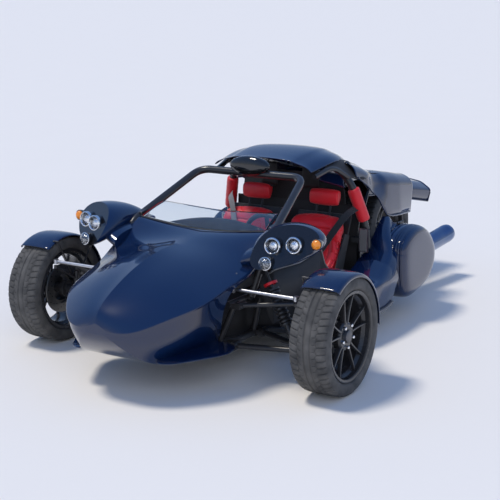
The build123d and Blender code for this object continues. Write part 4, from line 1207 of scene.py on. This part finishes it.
def tyre_surface(tyre, centre, pitches):
    """Tyre turned from its profile, its tread pressed in by grooves round it and slanted cuts between them.
    The depth falls by a smooth step where a point lies in a groove: round grooves by distance across,
    slanted ones by the phase of angle plus a bend across the tread."""
    low = smooth_line(tyre_line(tyre), 240, True)
    gaps = np.concatenate([[0], np.cumsum(np.linalg.norm(np.diff(low, axis=0), axis=1))])
    profile = np.stack([np.interp(np.linspace(0, gaps[-1], 86), gaps, low[:, k]) for k in (0, 1)], axis=1)
    turns = pitches * 14
    points = turned_grid(profile, centre, X_AXIS, turns)
    across = profile[:, 0] / (tyre["half"] - 0.008)
    angle = np.linspace(0, pitches, turns, endpoint=False)[:, None]

    def slot(distance, width):
        return 1 / (1 + np.exp((np.abs(distance) - width) / 0.012))

    reach = np.abs(across)
    zigzag = 0.045 * (np.abs(angle % 1.0 - 0.5) * 4 - 1)
    ring = slot(reach - 0.17, 0.034) + slot(reach - 0.52 - zigzag, 0.028) + 0.4 * slot(across, 0.010)
    slant = angle + 0.7 * reach
    outer = slot(slant % 1.0 - 0.5, 0.09) * (reach > 0.56) * (reach < 1.05)
    inner = slot((slant + 0.5) % 1.0 - 0.5, 0.06) * (reach < 0.48) * (reach > 0.30)
    tread = (profile[:, 1] > tyre["radius"] - 0.013)[None]
    depth = np.clip(ring + outer + 0.7 * inner, 0, 1) * tread * sizes().tread
    away = points - np.asarray(centre)
    away[..., 0] = 0
    away = away / np.linalg.norm(away, axis=-1, keepdims=True)
    ribs = 0.0005 * np.sin(angle * 4 * math.pi) * (np.abs(profile[:, 1] - tyre["rim"] - 0.03) < 0.006)
    return points - away * (depth - ribs)[..., None]


def tyre_piece(name, body, tyre, centre):
    """Tyre with its sidewalls and an inner wall closed behind the beads."""
    points = tyre_surface(tyre, centre, sizes().pitches)
    line = tyre_line(tyre)
    high = tyre["rim"] + 0.03
    back = [line[-1], (line[-1][0], high), (line[0][0], high), line[0]]
    grids = [(points, True, False), turned(back, centre, X_AXIS, len(points))]
    grid_piece(name + "_rubber", grids, 38.0, "tread_rubber", "tyre_rubber", name, body=body)


def spoke_rings(turn, reach, rise, width, depth, out):
    """Rings of one spoke's section along its path, which runs out from the axle and turns about it."""
    section = np.array([(-0.5, -0.5), (-0.5, 0.2), (-0.28, 0.5), (0.28, 0.5), (0.5, 0.2), (0.5, -0.5)])
    path = np.stack([out * rise, reach * np.sin(turn), reach * np.cos(turn)], axis=1)
    side, top = frames_along(path, X_AXIS)
    return path[:, None] + side[:, None] * (section[:, 0] * width[:, None])[..., None] \
        + top[:, None] * np.sign(out) * (section[:, 1] * depth[:, None])[..., None]


def rim_piece(name, body, tyre, centre, out, drop, spoke_width):
    """Rim: turned barrel with its lip, a hub with lug nuts and five pairs of spokes from hub to lip."""
    r, half = tyre["rim"], tyre["rim_half"]
    barrel = [
        (half, r + 0.012), (half, r + 0.004), (half - 0.004, r - 0.004), (half - 0.030, r - 0.008),
        (half - 0.046, r - 0.022), (-half + 0.046, r - 0.022), (-half + 0.030, r - 0.008), (-half, r - 0.006),
        (-half, r + 0.012), (-half + 0.005, r + 0.012), (-half + 0.008, r + 0.0005),
        (-half + 0.030, r + 0.0005), (-half + 0.046, r - 0.015), (half - 0.046, r - 0.015),
        (half - 0.030, r + 0.0005),
        (half - 0.008, r + 0.0005), (half - 0.005, r + 0.012), (half, r + 0.012),
    ]
    face = half - 0.014
    hub_x, hub_r = face - drop, 0.0752
    hub = [(hub_x - 0.040, 0.0), (hub_x - 0.040, hub_r), (hub_x - 0.010, hub_r),
           (hub_x - 0.001, hub_r - 0.008), (hub_x, hub_r - 0.016), (hub_x - 0.003, 0.040),
           (hub_x - 0.003, 0.034)]
    cap = [(hub_x - 0.003, 0.034), (hub_x + 0.012, 0.031), (hub_x + 0.017, 0.022), (hub_x + 0.018, 0.0)]
    nut = [(hub_x - 0.014, 0.0), (hub_x - 0.014, 0.0095), (hub_x + 0.010, 0.0095), (hub_x + 0.014, 0.007),
           (hub_x + 0.015, 0.0)]

    def lathe(profile, count, middle=centre):
        return turned([(out * x, y) for x, y in profile], middle, X_AXIS, count)

    steps = np.linspace(0, 1, 16)
    grids = [lathe(barrel, 120), lathe(hub, 80)]
    for pair in range(5):
        for lean in (-1, 1):
            inner, outer = math.radians(pair * 72 + lean * 10.5), math.radians(pair * 72 + lean * 13.5)
            rings = spoke_rings(
                inner + (outer - inner) * steps, (hub_r - 0.014) + (r - hub_r + 0.008) * steps,
                hub_x - 0.012 + (face - hub_x) * steps ** 1.6,
                spoke_width * (1.55 - 0.75 * steps), 0.026 - 0.012 * steps, out)
            grids.append(capped(rings + centre))
    casting = grid_piece(name + "_casting", grids, 28.0, "wheel_paint", "wheel_black", name, body=body)
    softened(casting, 0.0012, 2, 40)
    turns = [math.radians(index * 72 + 36) for index in range(5)]
    lugs = [lathe(nut, 6, np.array(centre) + (0, LUG_CIRCLE * math.sin(turn), LUG_CIRCLE * math.cos(turn)))
            for turn in turns]
    grid_piece(name + "_lug_nuts", lugs, 30.0, "chrome", "wheel_black", body=body)
    grid_piece(name + "_hub_cap", [lathe(cap, 48)], 30.0, "dark_alloy", "wheel_black", body=body)


def brake_disc(name, centre, out):
    """Vented disc: a ring with a slot milled round its edge and a hat to the hub, with thirty dark holes."""
    body = f"wheel_front_{name}"
    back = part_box(f"brake_disc_{name}")
    inner_x = min(abs(back[0][0]), abs(back[1][0])) - centre[0] * out
    radius = 0.140
    ring = [(0.0, 0.086), (0.0, 0.098), (0.0, 0.112), (0.0, 0.126), (0.0, radius - 0.001), (0.001, radius),
            (0.004, radius), (0.0045, radius - 0.006), (0.0055, radius - 0.006), (0.006, radius),
            (0.009, radius), (0.010, radius - 0.001), (0.010, 0.126), (0.010, 0.112), (0.010, 0.098),
            (0.010, 0.086)]
    hat = [(0.010, 0.086), (0.010, 0.074), (0.040, 0.070), (0.044, 0.066), (0.044, 0.030)]
    grids = [turned([(out * (x + inner_x), y) for x, y in line], centre, X_AXIS, count, loop)
             for line, count, loop in ((ring, 120, True), (hat, 72, False))]
    grid_piece(f"disc_{name}_faces", grids, 30.0, "disc_steel", "disc_steel", f"brake_disc_{name}", body=body)
    # Dull black plug for each hole: painted shade.
    hole_shade_plug = [(-0.0056, 0.0), (-0.0056, 0.0032), (0.0056, 0.0032), (0.0056, 0.0)]
    holes = []
    for index in range(30):
        turn, reach = index * math.tau / 30, 0.098 + 0.013 * (index % 3)
        spot = np.array(centre) + (out * (inner_x + 0.005), reach * math.sin(turn), reach * math.cos(turn))
        holes.append(turned(hole_shade_plug, spot, X_AXIS, 10))
    grid_piece(f"disc_{name}_holes", holes, 30.0, "dull_black", "disc_steel", body=body)


def wheels():
    """Tyres, rims and discs of all three wheels."""
    for name, side in SIDES:
        centre = FRONT_AXLE * (side, 1, 1)
        tyre_piece(f"tyre_front_{name}", f"wheel_front_{name}", FRONT_TYRE, centre)
        rim_piece(f"rim_front_{name}", f"wheel_front_{name}", FRONT_TYRE, centre, side, 0.016, 0.0108)
        brake_disc(name, centre, side)
    tyre_piece("tyre_rear", "wheel_rear", REAR_TYRE, REAR_AXLE)
    rim_piece("rim_rear", "wheel_rear", REAR_TYRE, REAR_AXLE, 1, 0.060, 0.017)


# Front fenders

# Where the fender starts, from straight up, and how far it runs
FENDER_SPAN = (math.radians(33), math.radians(-125))


def fender_band(side):
    """Left or right fender: a crowned band turned about the axle, with a lip down each edge."""
    half, r = 0.1025, 0.309
    line = [(-half, r - 0.006), (-half, r), (-half * 0.82, r + 0.006), (-half * 0.4, r + 0.0095),
            (0, r + 0.0100), (half * 0.4, r + 0.0095), (half * 0.85, r + 0.006), (half, r),
            (half + 0.001, r - 0.016)]
    profile = smooth_line(line, 40) * (side, 1)
    start, sweep = FENDER_SPAN
    return turned_grid(profile, FRONT_AXLE * (side, 1, 1), X_AXIS, 72, start, sweep)


def fenders():
    """Glossy cycle fender on each knuckle."""
    for name, side in SIDES:
        band = mesh_from_grids(f"fender_{name}_skin", [fender_band(side)], 40.0, FRONT_AXLE * (side, 1, 1))
        solid_from(band, 0.0035)
        placed(band, "fender_paint", "navy_paint", f"fender_{name}", body=f"knuckle_{name}")


# Cabin

SEAT_X = 233
SEAT_HALF = 172
# Side outlines of the cushions as (behind, height)
SEAT_BASE = ((500, 224), (640, 206), (760, 176), (845, 160), (852, 230), (760, 262), (640, 284), (510, 292))
SEAT_BACK = ((868, 170), (905, 168), (980, 330), (1062, 510), (1104, 610), (1092, 652), (1052, 646),
             (1004, 540), (930, 380), (866, 246))
HEADREST = ((1106, 712), (1140, 700), (1166, 742), (1162, 790), (1126, 798), (1100, 756))
# Share added to the half width of the seat's back: amount, height, spread
BACK_FLARE = (0.14, 430, 150)
NO_FLARE = (0.0, 0, 1)


def seat_block(line, wide, crown, flare):
    """Closed cushion on the left, between a side outline's front and back edges.
    line has (behind, height) of the outline; wide is half its width; crown swells it outwards in its middle.
    Its half width grows by flare's amount times a bell of height."""
    outline = smooth_line([(0, y, z) for y, z in (*line, line[0])], 53, True)[:-1]
    centre = outline.mean(axis=0)
    x = np.linspace(-1, 1, 34)[:, None]
    swell = (0.80 + 0.20 * (1 - np.abs(x) ** 6) ** 0.5), 1 + crown * (1 - x ** 2)
    y, z = (centre[k] + (outline[:, k] - centre[k]) * swell[0] * swell[1] for k in (1, 2))
    amount, height, spread = flare
    return capped(at(points_of(SEAT_X + wide * (1 + amount * bell(z, height, spread)) * x, y, z)))


def bell(values, middle, width):
    """1 at the middle, falling to nothing a few widths away."""
    return np.exp(-((values - middle) / width) ** 2)


def back_sewing(points, normals):
    """Heights on the seat's back: side bolsters, the channel inside each and one across the shoulders."""
    across = np.abs(points[:, 0] - SEAT_X * MM)
    front = np.clip(-normals[:, 1] * 1.6, 0, 1)
    channel = bell(across, 0.108, 0.0045) * (points[:, 2] < 0.585)
    channel += bell(points[:, 2], 0.585, 0.0045) * (across < 0.108)
    return front * (0.020 * bell(across, 0.150, 0.030) - 0.006 * channel)


def base_sewing(points, normals):
    """Heights on the seat's base: thigh bolsters and the channel inside each."""
    across = np.abs(points[:, 0] - SEAT_X * MM)
    top = np.clip(normals[:, 2] * 1.6, 0, 1)
    return top * (0.014 * bell(across, 0.150, 0.030) - 0.006 * bell(across, 0.108, 0.0045))


def head_sewing(points, normals):
    """A seam round the headrest, near its back edge."""
    return -0.004 * bell(points[:, 1], at((0, 1142, 0))[1], 0.004)


def cushion(label, line, wide, crown, flare, cap, sewing):
    """One cushion on each side: modelled a little small, swollen by cloth, then sewn."""
    block = mesh_from_grids(f"seat_{label}_left", [seat_block(line, wide, crown, flare)], 80.0)
    shaped(block, lambda points, normals: np.full(len(points), -0.006))
    stuffed(block, 4.0, cap)
    smooth = block.modifiers.new("soft", "SUBSURF")
    smooth.levels = smooth.render_levels = 1
    baked(block)
    shaped(block, sewing)
    for piece in (block, mirror_of(block, f"seat_{label}_right")):
        placed(piece, "seat_red", "red_vinyl", "seat_cushions")


def seats():
    """Bucket seats: base, back with side bolsters and headrest on two stems, each its own stuffed piece."""
    cushion("base", SEAT_BASE, SEAT_HALF, 0.05, NO_FLARE, 0.014, base_sewing)
    cushion("back", SEAT_BACK, SEAT_HALF - 10, 0.06, BACK_FLARE, 0.016, back_sewing)
    cushion("headrest", HEADREST, 100, 0.10, NO_FLARE, 0.012, head_sewing)
    stems = mirrored_paths([[(SEAT_X + x, 1094, 620), (SEAT_X + x, 1130, 715)] for x in (-45, 45)])
    tube_object("headrest_stems", stems, 0.006, 5, "seat_black", "red_vinyl")
    # Black block over the top of the right headrest only, for the shade that falls there: painted shade.
    shade_outline = [(-333, 1128, 778), (-120, 1128, 778), (-128, 1128, 836), (-326, 1128, 836)]
    case = grid_piece("headrest_box", [prism_grid(at(shade_outline), (0, 0.05, 0))], 40.0, "seat_black", "red_vinyl")
    softened(case, 0.012, 3)


# Foot and top of the left front damper
DAMPER = ((FRONT_AXLE[0] / MM - 248, 35, 215), (455, 70, 540))
# Harnesses: from the cage's leg over the shoulder and across to the buckle by the tunnel
HARNESSES = (
    ("belt_black", ((447, 1170, 706), (426, 1096, 690), (412, 1034, 662), (388, 992, 606), (350, 962, 540),
                    (314, 934, 470), (250, 902, 385), (150, 884, 315), (72, 890, 275))),
    ("belt_grey", ((-440, 1166, 716), (-404, 1084, 716), (-362, 1034, 700), (-336, 1014, 636),
                   (-310, 988, 563), (-276, 944, 470), (-210, 906, 385), (-130, 884, 315), (-72, 890, 275))),
)


def harnesses():
    """Shoulder strap of each seat with its anchor on the cage."""
    for shade, points in HARNESSES:
        face = (0.25 * np.sign(points[0][0]), -1.0, 0.45)
        strap = ribbon_grid(at(smooth_line(points, 80)), 0.040, 0.0024, face)
        grid_piece("harness_" + shade, [strap], 50.0, shade, "red_vinyl")
    anchors = mirrored_paths([[(447, 1166, 716), (451, 1174, 690)]])
    tube_object("harness_anchors", anchors, 0.013, 2, "chrome", "frame_black", 8)


# Dark side of the footwell, left: out from the middle, behind the axle, height of its low and top edge
FOOTWELL = ((400, -130, 476, 566), (400, 84, 476, 552), (440, 120, 300, 516), (452, 150, 246, 534),
            (452, 260, 246, 528), (452, 430, 246, 517), (452, 560, 246, 532), (452, 668, 246, 558),
            (452, 720, 246, 452), (452, 860, 246, 336))


def footwell_sides():
    """Dark panel each side of the footwell with a grey bead along its top."""
    x, behind, foot, edge = np.array(FOOTWELL, float).T
    top = rounded_path(np.stack([x, behind, edge], axis=1), 20.0, 8)
    low = np.stack([np.interp(top[:, 1], behind, column) for column in (x, behind, foot)], axis=1)
    panels = both(np.stack([low, top], axis=1))
    solid_from(grid_piece("footwell_panels", panels, 50.0, "liner_black", "frame_black"), 0.004)
    beads = [tube_grid(line, 0.005, 10) for line in both(top)]
    grid_piece("footwell_beads", beads, 50.0, "grey_trim", "frame_black")


def vent_plates():
    """Framed vent plate beside each seat."""
    for name, inset, behind, shade in (
            ("vent_frames", 0, 1157, "alloy"), ("vent_plates", 6, 1155, "grey_trim")):
        left, right, low, high = 450 + inset, 508 - inset, 437 + inset, 577 - inset
        ring = [(left, behind, low), (right, behind, low), (right, behind, high), (left, behind, high)]
        grid_piece(name, [prism_grid(line, (0, 0.002, 0)) for line in both(ring)], 40.0, shade, "frame_black")


def damper_collars():
    """Red preload collar near the top of each front damper."""
    ring = [(-0.007, 0.030), (-0.007, 0.0365), (0.007, 0.0365), (0.007, 0.030)]
    rings = [turned(ring, foot + (top - foot) * 0.83, top - foot, 40, True) for foot, top in both(DAMPER)]
    grid_piece("damper_collars", rings, 40.0, "collar_red", "frame_black")


def cabin_back():
    """Behind the seats: painted inner panels under the roof, mesh beside them, black sides up to the roof."""
    for name, rows, shade, slot_name in BACK_PANELS:
        grids = [panel_grid(net, 16, 8) for net in both(rows)]
        solid_from(grid_piece(name, grids, 50.0, shade, slot_name), 0.002)


CAGE = spanned(((507, 1246, 145), (474, 1201, 592), (398, 1122, 875), (250, 1095, 985)))
# Roof rail, stay and link of the left side: points, bend, radius, count of sides
CAGE_TUBES = (
    ([(392, 1118, 880), (350, 1000, 955), (322, 830, 915)], 0.09, 0.016, 20),
    ([(395, 1120, 860), (215, 1700, 560), (215, 1640, 320)], 0.06, 0.016, 20),
    ([(213, 1696, 563), (150, 1908, 664)], 0, 0.010, 16),
)
# Left panels behind the seats: name, rows of points, finish, slot
BACK_PANELS = (
    ("inner_panels", (((196, 1128, 842), (196, 1112, 905)), ((370, 1122, 815), (362, 1104, 905))),
     "body_paint", "navy_paint"),
    ("mesh_panels", (((88, 1128, 790), (88, 1118, 935)), ((196, 1128, 800), (196, 1112, 940))),
     "grille", "frame_black"),
    ("roof_sides", (((330, 940, 960), (344, 945, 952)), ((334, 1060, 976), (376, 1050, 930)),
                    ((332, 1121, 980), (402, 1116, 884)), ((310, 1215, 966), (424, 1215, 862)),
                    ((304, 1290, 950), (430, 1290, 850))),
     "liner_black", "frame_black"),
)


def rear_cage():
    """Main hoop behind the seats, its roof rails and the stays to the tail."""
    grids = [tube_grid(rounded_path(at(CAGE), 0.095, 12), HOOP_R, 28)]
    for path, bend, radius, count in CAGE_TUBES:
        grids += [tube_grid(rounded_path(at(line), bend) if bend else at(line), radius, count)
                  for line in mirrored_paths([path])]
    grids.append(tube_grid(at([(-214, 1672, 590), (214, 1672, 590)]), 0.012, 16))
    grid_piece("cage_tubes", grids, 40.0, "tube_black", "frame_black", "roll_cage")


def cage_pads():
    """Red sleeve on each leg of the main hoop, stuffed, pinched at its ends."""
    elbow, knee = CAGE[1], CAGE[2]
    t = np.linspace(0.10, 0.78, 60)
    path = at(elbow + (knee - elbow) * t[:, None])
    share = (t - t[0]) / (t[-1] - t[0])
    puff = 0.84 + 0.16 * np.clip(np.minimum(share, 1 - share) * 14, 0, 1) ** 0.5 + 0.010 * np.sin(share * 40)
    grid = capped(swept_grid(path, circle(0.0365, 40), scale=puff))
    sleeve = mesh_from_grids("cage_pad_left", [grid], 60.0)
    stuffed(sleeve, 3.0, 0.004, 0.005)
    for piece in (sleeve, mirror_of(sleeve, "cage_pad_right")):
        placed(piece, "seat_red", "red_vinyl", "cage_pads")


# Rear body: sills, side cases and exhaust

# Sill stations: behind, floor, outer edge (x, height), brow (x, height), height at the tub
SILL_STATIONS = (
    (450, 132, (590, 236), (556, 250), 256),
    (700, 120, (680, 292), (636, 306), 310),
    (960, 120, (700, 312), (652, 330), 338),
    (1100, 124, (698, 314), (648, 380), 396),
    (1206, 134, (690, 310), (640, 418), 430),
)
# Outline of the side cases: behind, height
CASE_LINE = ((1270, 420), (1330, 520), (1500, 560), (1680, 500), (1790, 360), (1750, 230), (1570, 150),
             (1385, 130), (1288, 240))


def sills():
    """Glossy sill each side of the cabin that widens behind the front wheel, over a grey lip along its foot.
    Between its edges the top swells, and the side below the outer edge tucks in."""
    stations = []
    for behind, low, (out_x, out_z), (brow_x, brow_z), inner in SILL_STATIONS:
        line = [(474, low), (out_x - 44, low), (out_x - 26, low + 66), (out_x, out_z - 14),
                (out_x - 4, out_z + 4), ((out_x + brow_x) / 2 + 3, (out_z + brow_z) / 2 + 5),
                (brow_x, brow_z),
                ((474 + brow_x) / 2, (inner + brow_z) / 2 + 6), (474, inner)]
        stations.append([(x, behind, z) for x, z in line])
    rows = creased_rows(stations, 80, 16.0, 6, 6)
    skins = [capped(skin) for skin in both(rows)]
    grid_piece("sill_skins", skins, 26.0, "body_paint", "navy_paint", "side_pods")
    foot = np.array([station[1] for station in stations], float) + (2, 0, 10)
    foot = np.stack([np.interp(np.linspace(0, 4, 60), np.arange(5), foot[:, k]) for k in range(3)], axis=1)
    section = [(-0.016, -0.010), (0.012, -0.010), (0.016, 0.010), (-0.016, 0.010)]
    lips = [capped(swept_grid(line, section)) for line in both(foot)]
    softened(grid_piece("sill_lips", lips, 30.0, "grey_trim", "navy_paint"), 0.003)


# Hinge of the lid: x, middle behind, height; then the spans of its barrels on the case and on the lid
HINGE = (563, 1500, 568)
CASE_BARRELS, LID_BARRELS = ((-41, -23), (23, 41)), ((-18, 18),)


def hinge_grids(side, spans, lean):
    """Hinge barrels along the lid's axis, each on a flat leaf that hangs from it."""
    x, middle, z = HINGE
    grids = []
    for start, end in spans:
        grids.append(tube_grid(at([(x * side, middle + start, z), (x * side, middle + end, z)]), 0.006, 20))
        near, far, behind = (x + lean * 2) * side, (x + lean * 7) * side, middle + start
        leaf = [(near, behind, z), (far, behind, z), (far, behind, z - 30), (near, behind, z - 30)]
        grids.append(prism_grid(at(leaf), (0, (end - start) * MM, 0)))
    return grids


def case_half(name, x0, x1, side, body, node, steps, ribs):
    """Half of a side case: its rounded rim swept between two planes and domed over on its outer side.
    The ribs sink the rim by a cosine of the way out, over its upper front."""
    line = smooth_line([(0, *p) for p in CASE_LINE + CASE_LINE[:1]], 161, True)[:-1]
    centre = line.mean(axis=0)
    out = line - centre
    front = (out[:, 2] - out[:, 1]) / np.linalg.norm(out, axis=1)
    shape = smooth_line(steps, 90)
    share, size = shape[:, :1], shape[:, 1:]
    wave = (0.5 - 0.5 * np.cos(share * math.tau * 8)) * (share > 0.03) * (share < 0.78)
    size = size * (1 - ribs * wave * np.clip(front * 2 - 0.4, 0, 1))
    y, z = (centre[k] + out[:, k] * size for k in (1, 2))
    points = at(points_of((x0 + (x1 - x0) * share) * side, y, z))
    shell = mesh_from_grids(name, [(points, False, True)], 24.0, points[0].mean(axis=0))
    spans, lean = (LID_BARRELS, 1) if x1 > x0 else (CASE_BARRELS, -1)
    grid_piece(name + "_hinge", hinge_grids(side, spans, lean), 40.0, "frame_black", "navy_paint", body=body)
    placed(solid_from(shell, 0.005), "body_paint", "navy_paint", node, body=body)


def side_cases():
    """Fixed half and hinged lid of each side case. A profile is (share of the way out, share of size)."""
    end = [(1.0, 0.4), (1.0, 0.0)]
    flat = [(0.0, 1.0), (0.62, 1.0), (0.82, 0.992), (0.94, 0.97), (1.0, 0.93), (1.0, 0.80)] + end
    dome = [(0.0, 1.0), (0.50, 1.0), (0.72, 0.985), (0.88, 0.93), (0.97, 0.83), (1.0, 0.68)] + end
    for name, side in SIDES:
        case_half(f"case_inner_{name}", 560, 462, side, "chassis", "pannier_cases", flat, 0.0)
        case_half(f"case_lid_{name}", 566, 700, side, f"lid_{name}", f"pannier_lid_{name}", dome, 0.03)


def exhaust():
    """Round silencer with rolled ends and a black outlet, and its pipe."""
    front, back = at((400, 1960, 235)), at((455, 2560, 300))
    long = np.linalg.norm(back - front)
    can = [(0.0, 0.024), (0.006, 0.052), (0.022, 0.062), (0.030, 0.0632), (0.036, 0.062),
           (long - 0.05, 0.062), (long - 0.044, 0.0632), (long - 0.02, 0.0625), (long, 0.060)]
    end = [(long, 0.060), (long + 0.003, 0.052), (long + 0.001, 0.038), (long - 0.004, 0.034),
           (long - 0.12, 0.034), (long - 0.12, 0.0)]
    for name, line, count, shade, nodes in (
            ("silencer", can, 72, "blued_steel", ("exhaust",)), ("silencer_end", end, 64, "gloss_black", ())):
        grid_piece(name, [turned(line, front, back - front, count)], 30.0, shade, "exhaust_blue", *nodes)
    pipe = [(190, 1400, 262), (330, 1490, 215), (350, 1800, 215), (400, 1960, 235)]
    tube_object("exhaust_pipe", [pipe], 0.024, 60, "blued_steel", "exhaust_blue", 28)


# Carried-over frame nodes

CARRIED = {
    "liner_black": ("cockpit_tub", "bulkhead", "dash_cowl"),
    "seat_black": ("seat_shells", "steering_wheel"),
    "alloy": ("steering_rack",),
    "frame_black": ("front_arms", "knuckle_left", "knuckle_right", "dampers", "lower_frame", "swingarm"),
    "dark_alloy": ("engine_block",),
}


def carried_nodes():
    """Frame nodes whose shape is right get their finish in their own slots."""
    for name, nodes in CARRIED.items():
        for node in nodes:
            if node in NODES:
                NODES[node].data.materials.clear()
                NODES[node].data.materials.append(finish(name))


# Studio

VIEW_TURN, VIEW_RISE = math.radians(31.33), math.radians(12.72)
VIEW_PLACE = (3.270, -5.716, 1.908)
# Colour of the air by the sine of the height looked at
SKY = [(0.0, (1.0, 1.0, 1.0, 1.0)), (0.05, (0.80, 0.87, 0.97, 1.0)), (0.14, (0.46, 0.60, 0.88, 1.0)),
       (0.50, (0.25, 0.45, 0.88, 1.0)), (1.0, (0.13, 0.28, 0.68, 1.0))]
SKY_LEVEL = 0.72
FLOOR_HALF = 2000.0
# Soft suns: name, direction to it, angle, level, colour
SUNS = (
    ("key", (-0.34, -0.22, 0.90), 0.22, 2.3, (1.0, 0.93, 0.82)),
    ("fill", (0.60, -0.70, 0.42), 0.9, 0.95, (1.0, 0.96, 0.90)),
)


def studio_camera(scene):
    """The camera at the photograph's place and angle."""
    data = bpy.data.cameras.new("view")
    data.lens = sizes().lens
    data.sensor_width = 36.0
    camera = bpy.data.objects.new("view", data)
    camera.location = VIEW_PLACE
    camera.rotation_euler = (math.pi / 2 - VIEW_RISE, 0.0, VIEW_TURN)
    scene.collection.objects.link(camera)
    scene.camera = camera


def studio():
    """Pale floor, soft lamps, pale world and the camera."""
    scene = bpy.context.scene
    scene.view_settings.view_transform = "Standard"
    studio_camera(scene)
    corners = [[(x, y, 0) for x in (-FLOOR_HALF, FLOOR_HALF)] for y in (-FLOOR_HALF, FLOOR_HALF)]
    ground = mesh_from_grids("studio_ground", [np.array(corners)], 32.0)
    ground.data.materials.append(finish("studio_floor"))
    world = bpy.data.worlds.new("studio_air")
    world.use_nodes = True
    air = Nodes(world.node_tree)
    height = air.node("ShaderNodeSeparateXYZ", {}, {0: air.node("ShaderNodeTexCoord")}, 2)
    background = world.node_tree.nodes["Background"]
    air.feed(background.inputs[0], air.node("ShaderNodeValToRGB", {"stops": SKY}, {0: height}))
    background.inputs[1].default_value = SKY_LEVEL
    scene.world = world
    for name, towards, wide, power, colour in SUNS:
        lamp = bpy.data.lights.new(name, "SUN")
        lamp.angle = wide
        lamp.energy = power * sizes().lamp
        lamp.color = colour
        holder = bpy.data.objects.new(name, lamp)
        holder.visible_glossy = name == "key"
        holder.rotation_euler = Vector(towards).to_track_quat("Z", "Y").to_euler()
        scene.collection.objects.link(holder)


# Operators, panel and run

PIECES = (
    ("hood", "Hood", "Nose skin with its wheel arches", (hood, blades)),
    ("lamps", "Lamps", "Lamp pods, lamps and signals", (lamp_pods, pod_necks, lamp_parts, signal_lamps)),
    ("screen", "Screen and Hoop", "Front hoop, windscreen and mirror",
     (front_hoop, screen, screen_brackets, mirror_head)),
    ("roof", "Roof and Tail", "Roof skin, fairings and tail spine",
     (roof_panel, rear_fairings, tail_lamps, tail_fender, shoulder_panels)),
    ("wheels", "Wheels", "Tyres, rims and discs", (wheels,)),
    ("fenders", "Fenders", "Front cycle fenders", (fenders,)),
    ("cabin", "Cabin", "Seats, cage and pads",
     (seats, harnesses, rear_cage, cage_pads, cabin_back, footwell_sides, vent_plates, damper_collars)),
    ("rear", "Sills and Cases", "Sills, side cases and exhaust", (sills, side_cases, exhaust)),
    ("finishes", "Frame Finishes", "Finishes of the frame's own nodes", (carried_nodes,)),
    ("studio", "Studio", "Floor, lamps and camera", (studio,)),
)


def piece_operator(key, label, text, makers):
    """Operator class that runs the makers of one group of pieces."""
    def execute(self, context):
        for maker in makers:
            maker()
        return {"FINISHED"}

    body = {"bl_idname": f"roadster.{key}", "bl_label": label, "__doc__": text, "execute": execute}
    return type(f"ROADSTER_OT_{key}", (bpy.types.Operator,), body)


OPERATORS = tuple(piece_operator(*piece) for piece in PIECES)


class ROADSTER_PT_panel(bpy.types.Panel):
    """Lists the settings and the pieces."""
    bl_label = "Roadster"
    bl_idname = "ROADSTER_PT_panel"
    bl_space_type = "VIEW_3D"
    bl_region_type = "UI"
    bl_category = "Roadster"

    def draw(self, context):
        for settings in (context.scene.roadster_colours, context.scene.roadster_sizes):
            for name in settings.__annotations__:
                self.layout.prop(settings, name)
        for operator in OPERATORS:
            self.layout.operator(operator.bl_idname)


CLASSES = (RoadsterColours, RoadsterSizes) + OPERATORS + (ROADSTER_PT_panel,)


def register():
    for item in CLASSES:
        bpy.utils.register_class(item)
    bpy.types.Scene.roadster_colours = PointerProperty(type=RoadsterColours)
    bpy.types.Scene.roadster_sizes = PointerProperty(type=RoadsterSizes)


def unregister():
    del bpy.types.Scene.roadster_sizes
    del bpy.types.Scene.roadster_colours
    for item in reversed(CLASSES):
        bpy.utils.unregister_class(item)


def main():
    """Registers the classes, makes every piece in order and writes both boxes."""
    register()
    for key, *_ in PIECES:
        getattr(bpy.ops.roadster, key)()


if __name__ == "__main__":
    main()
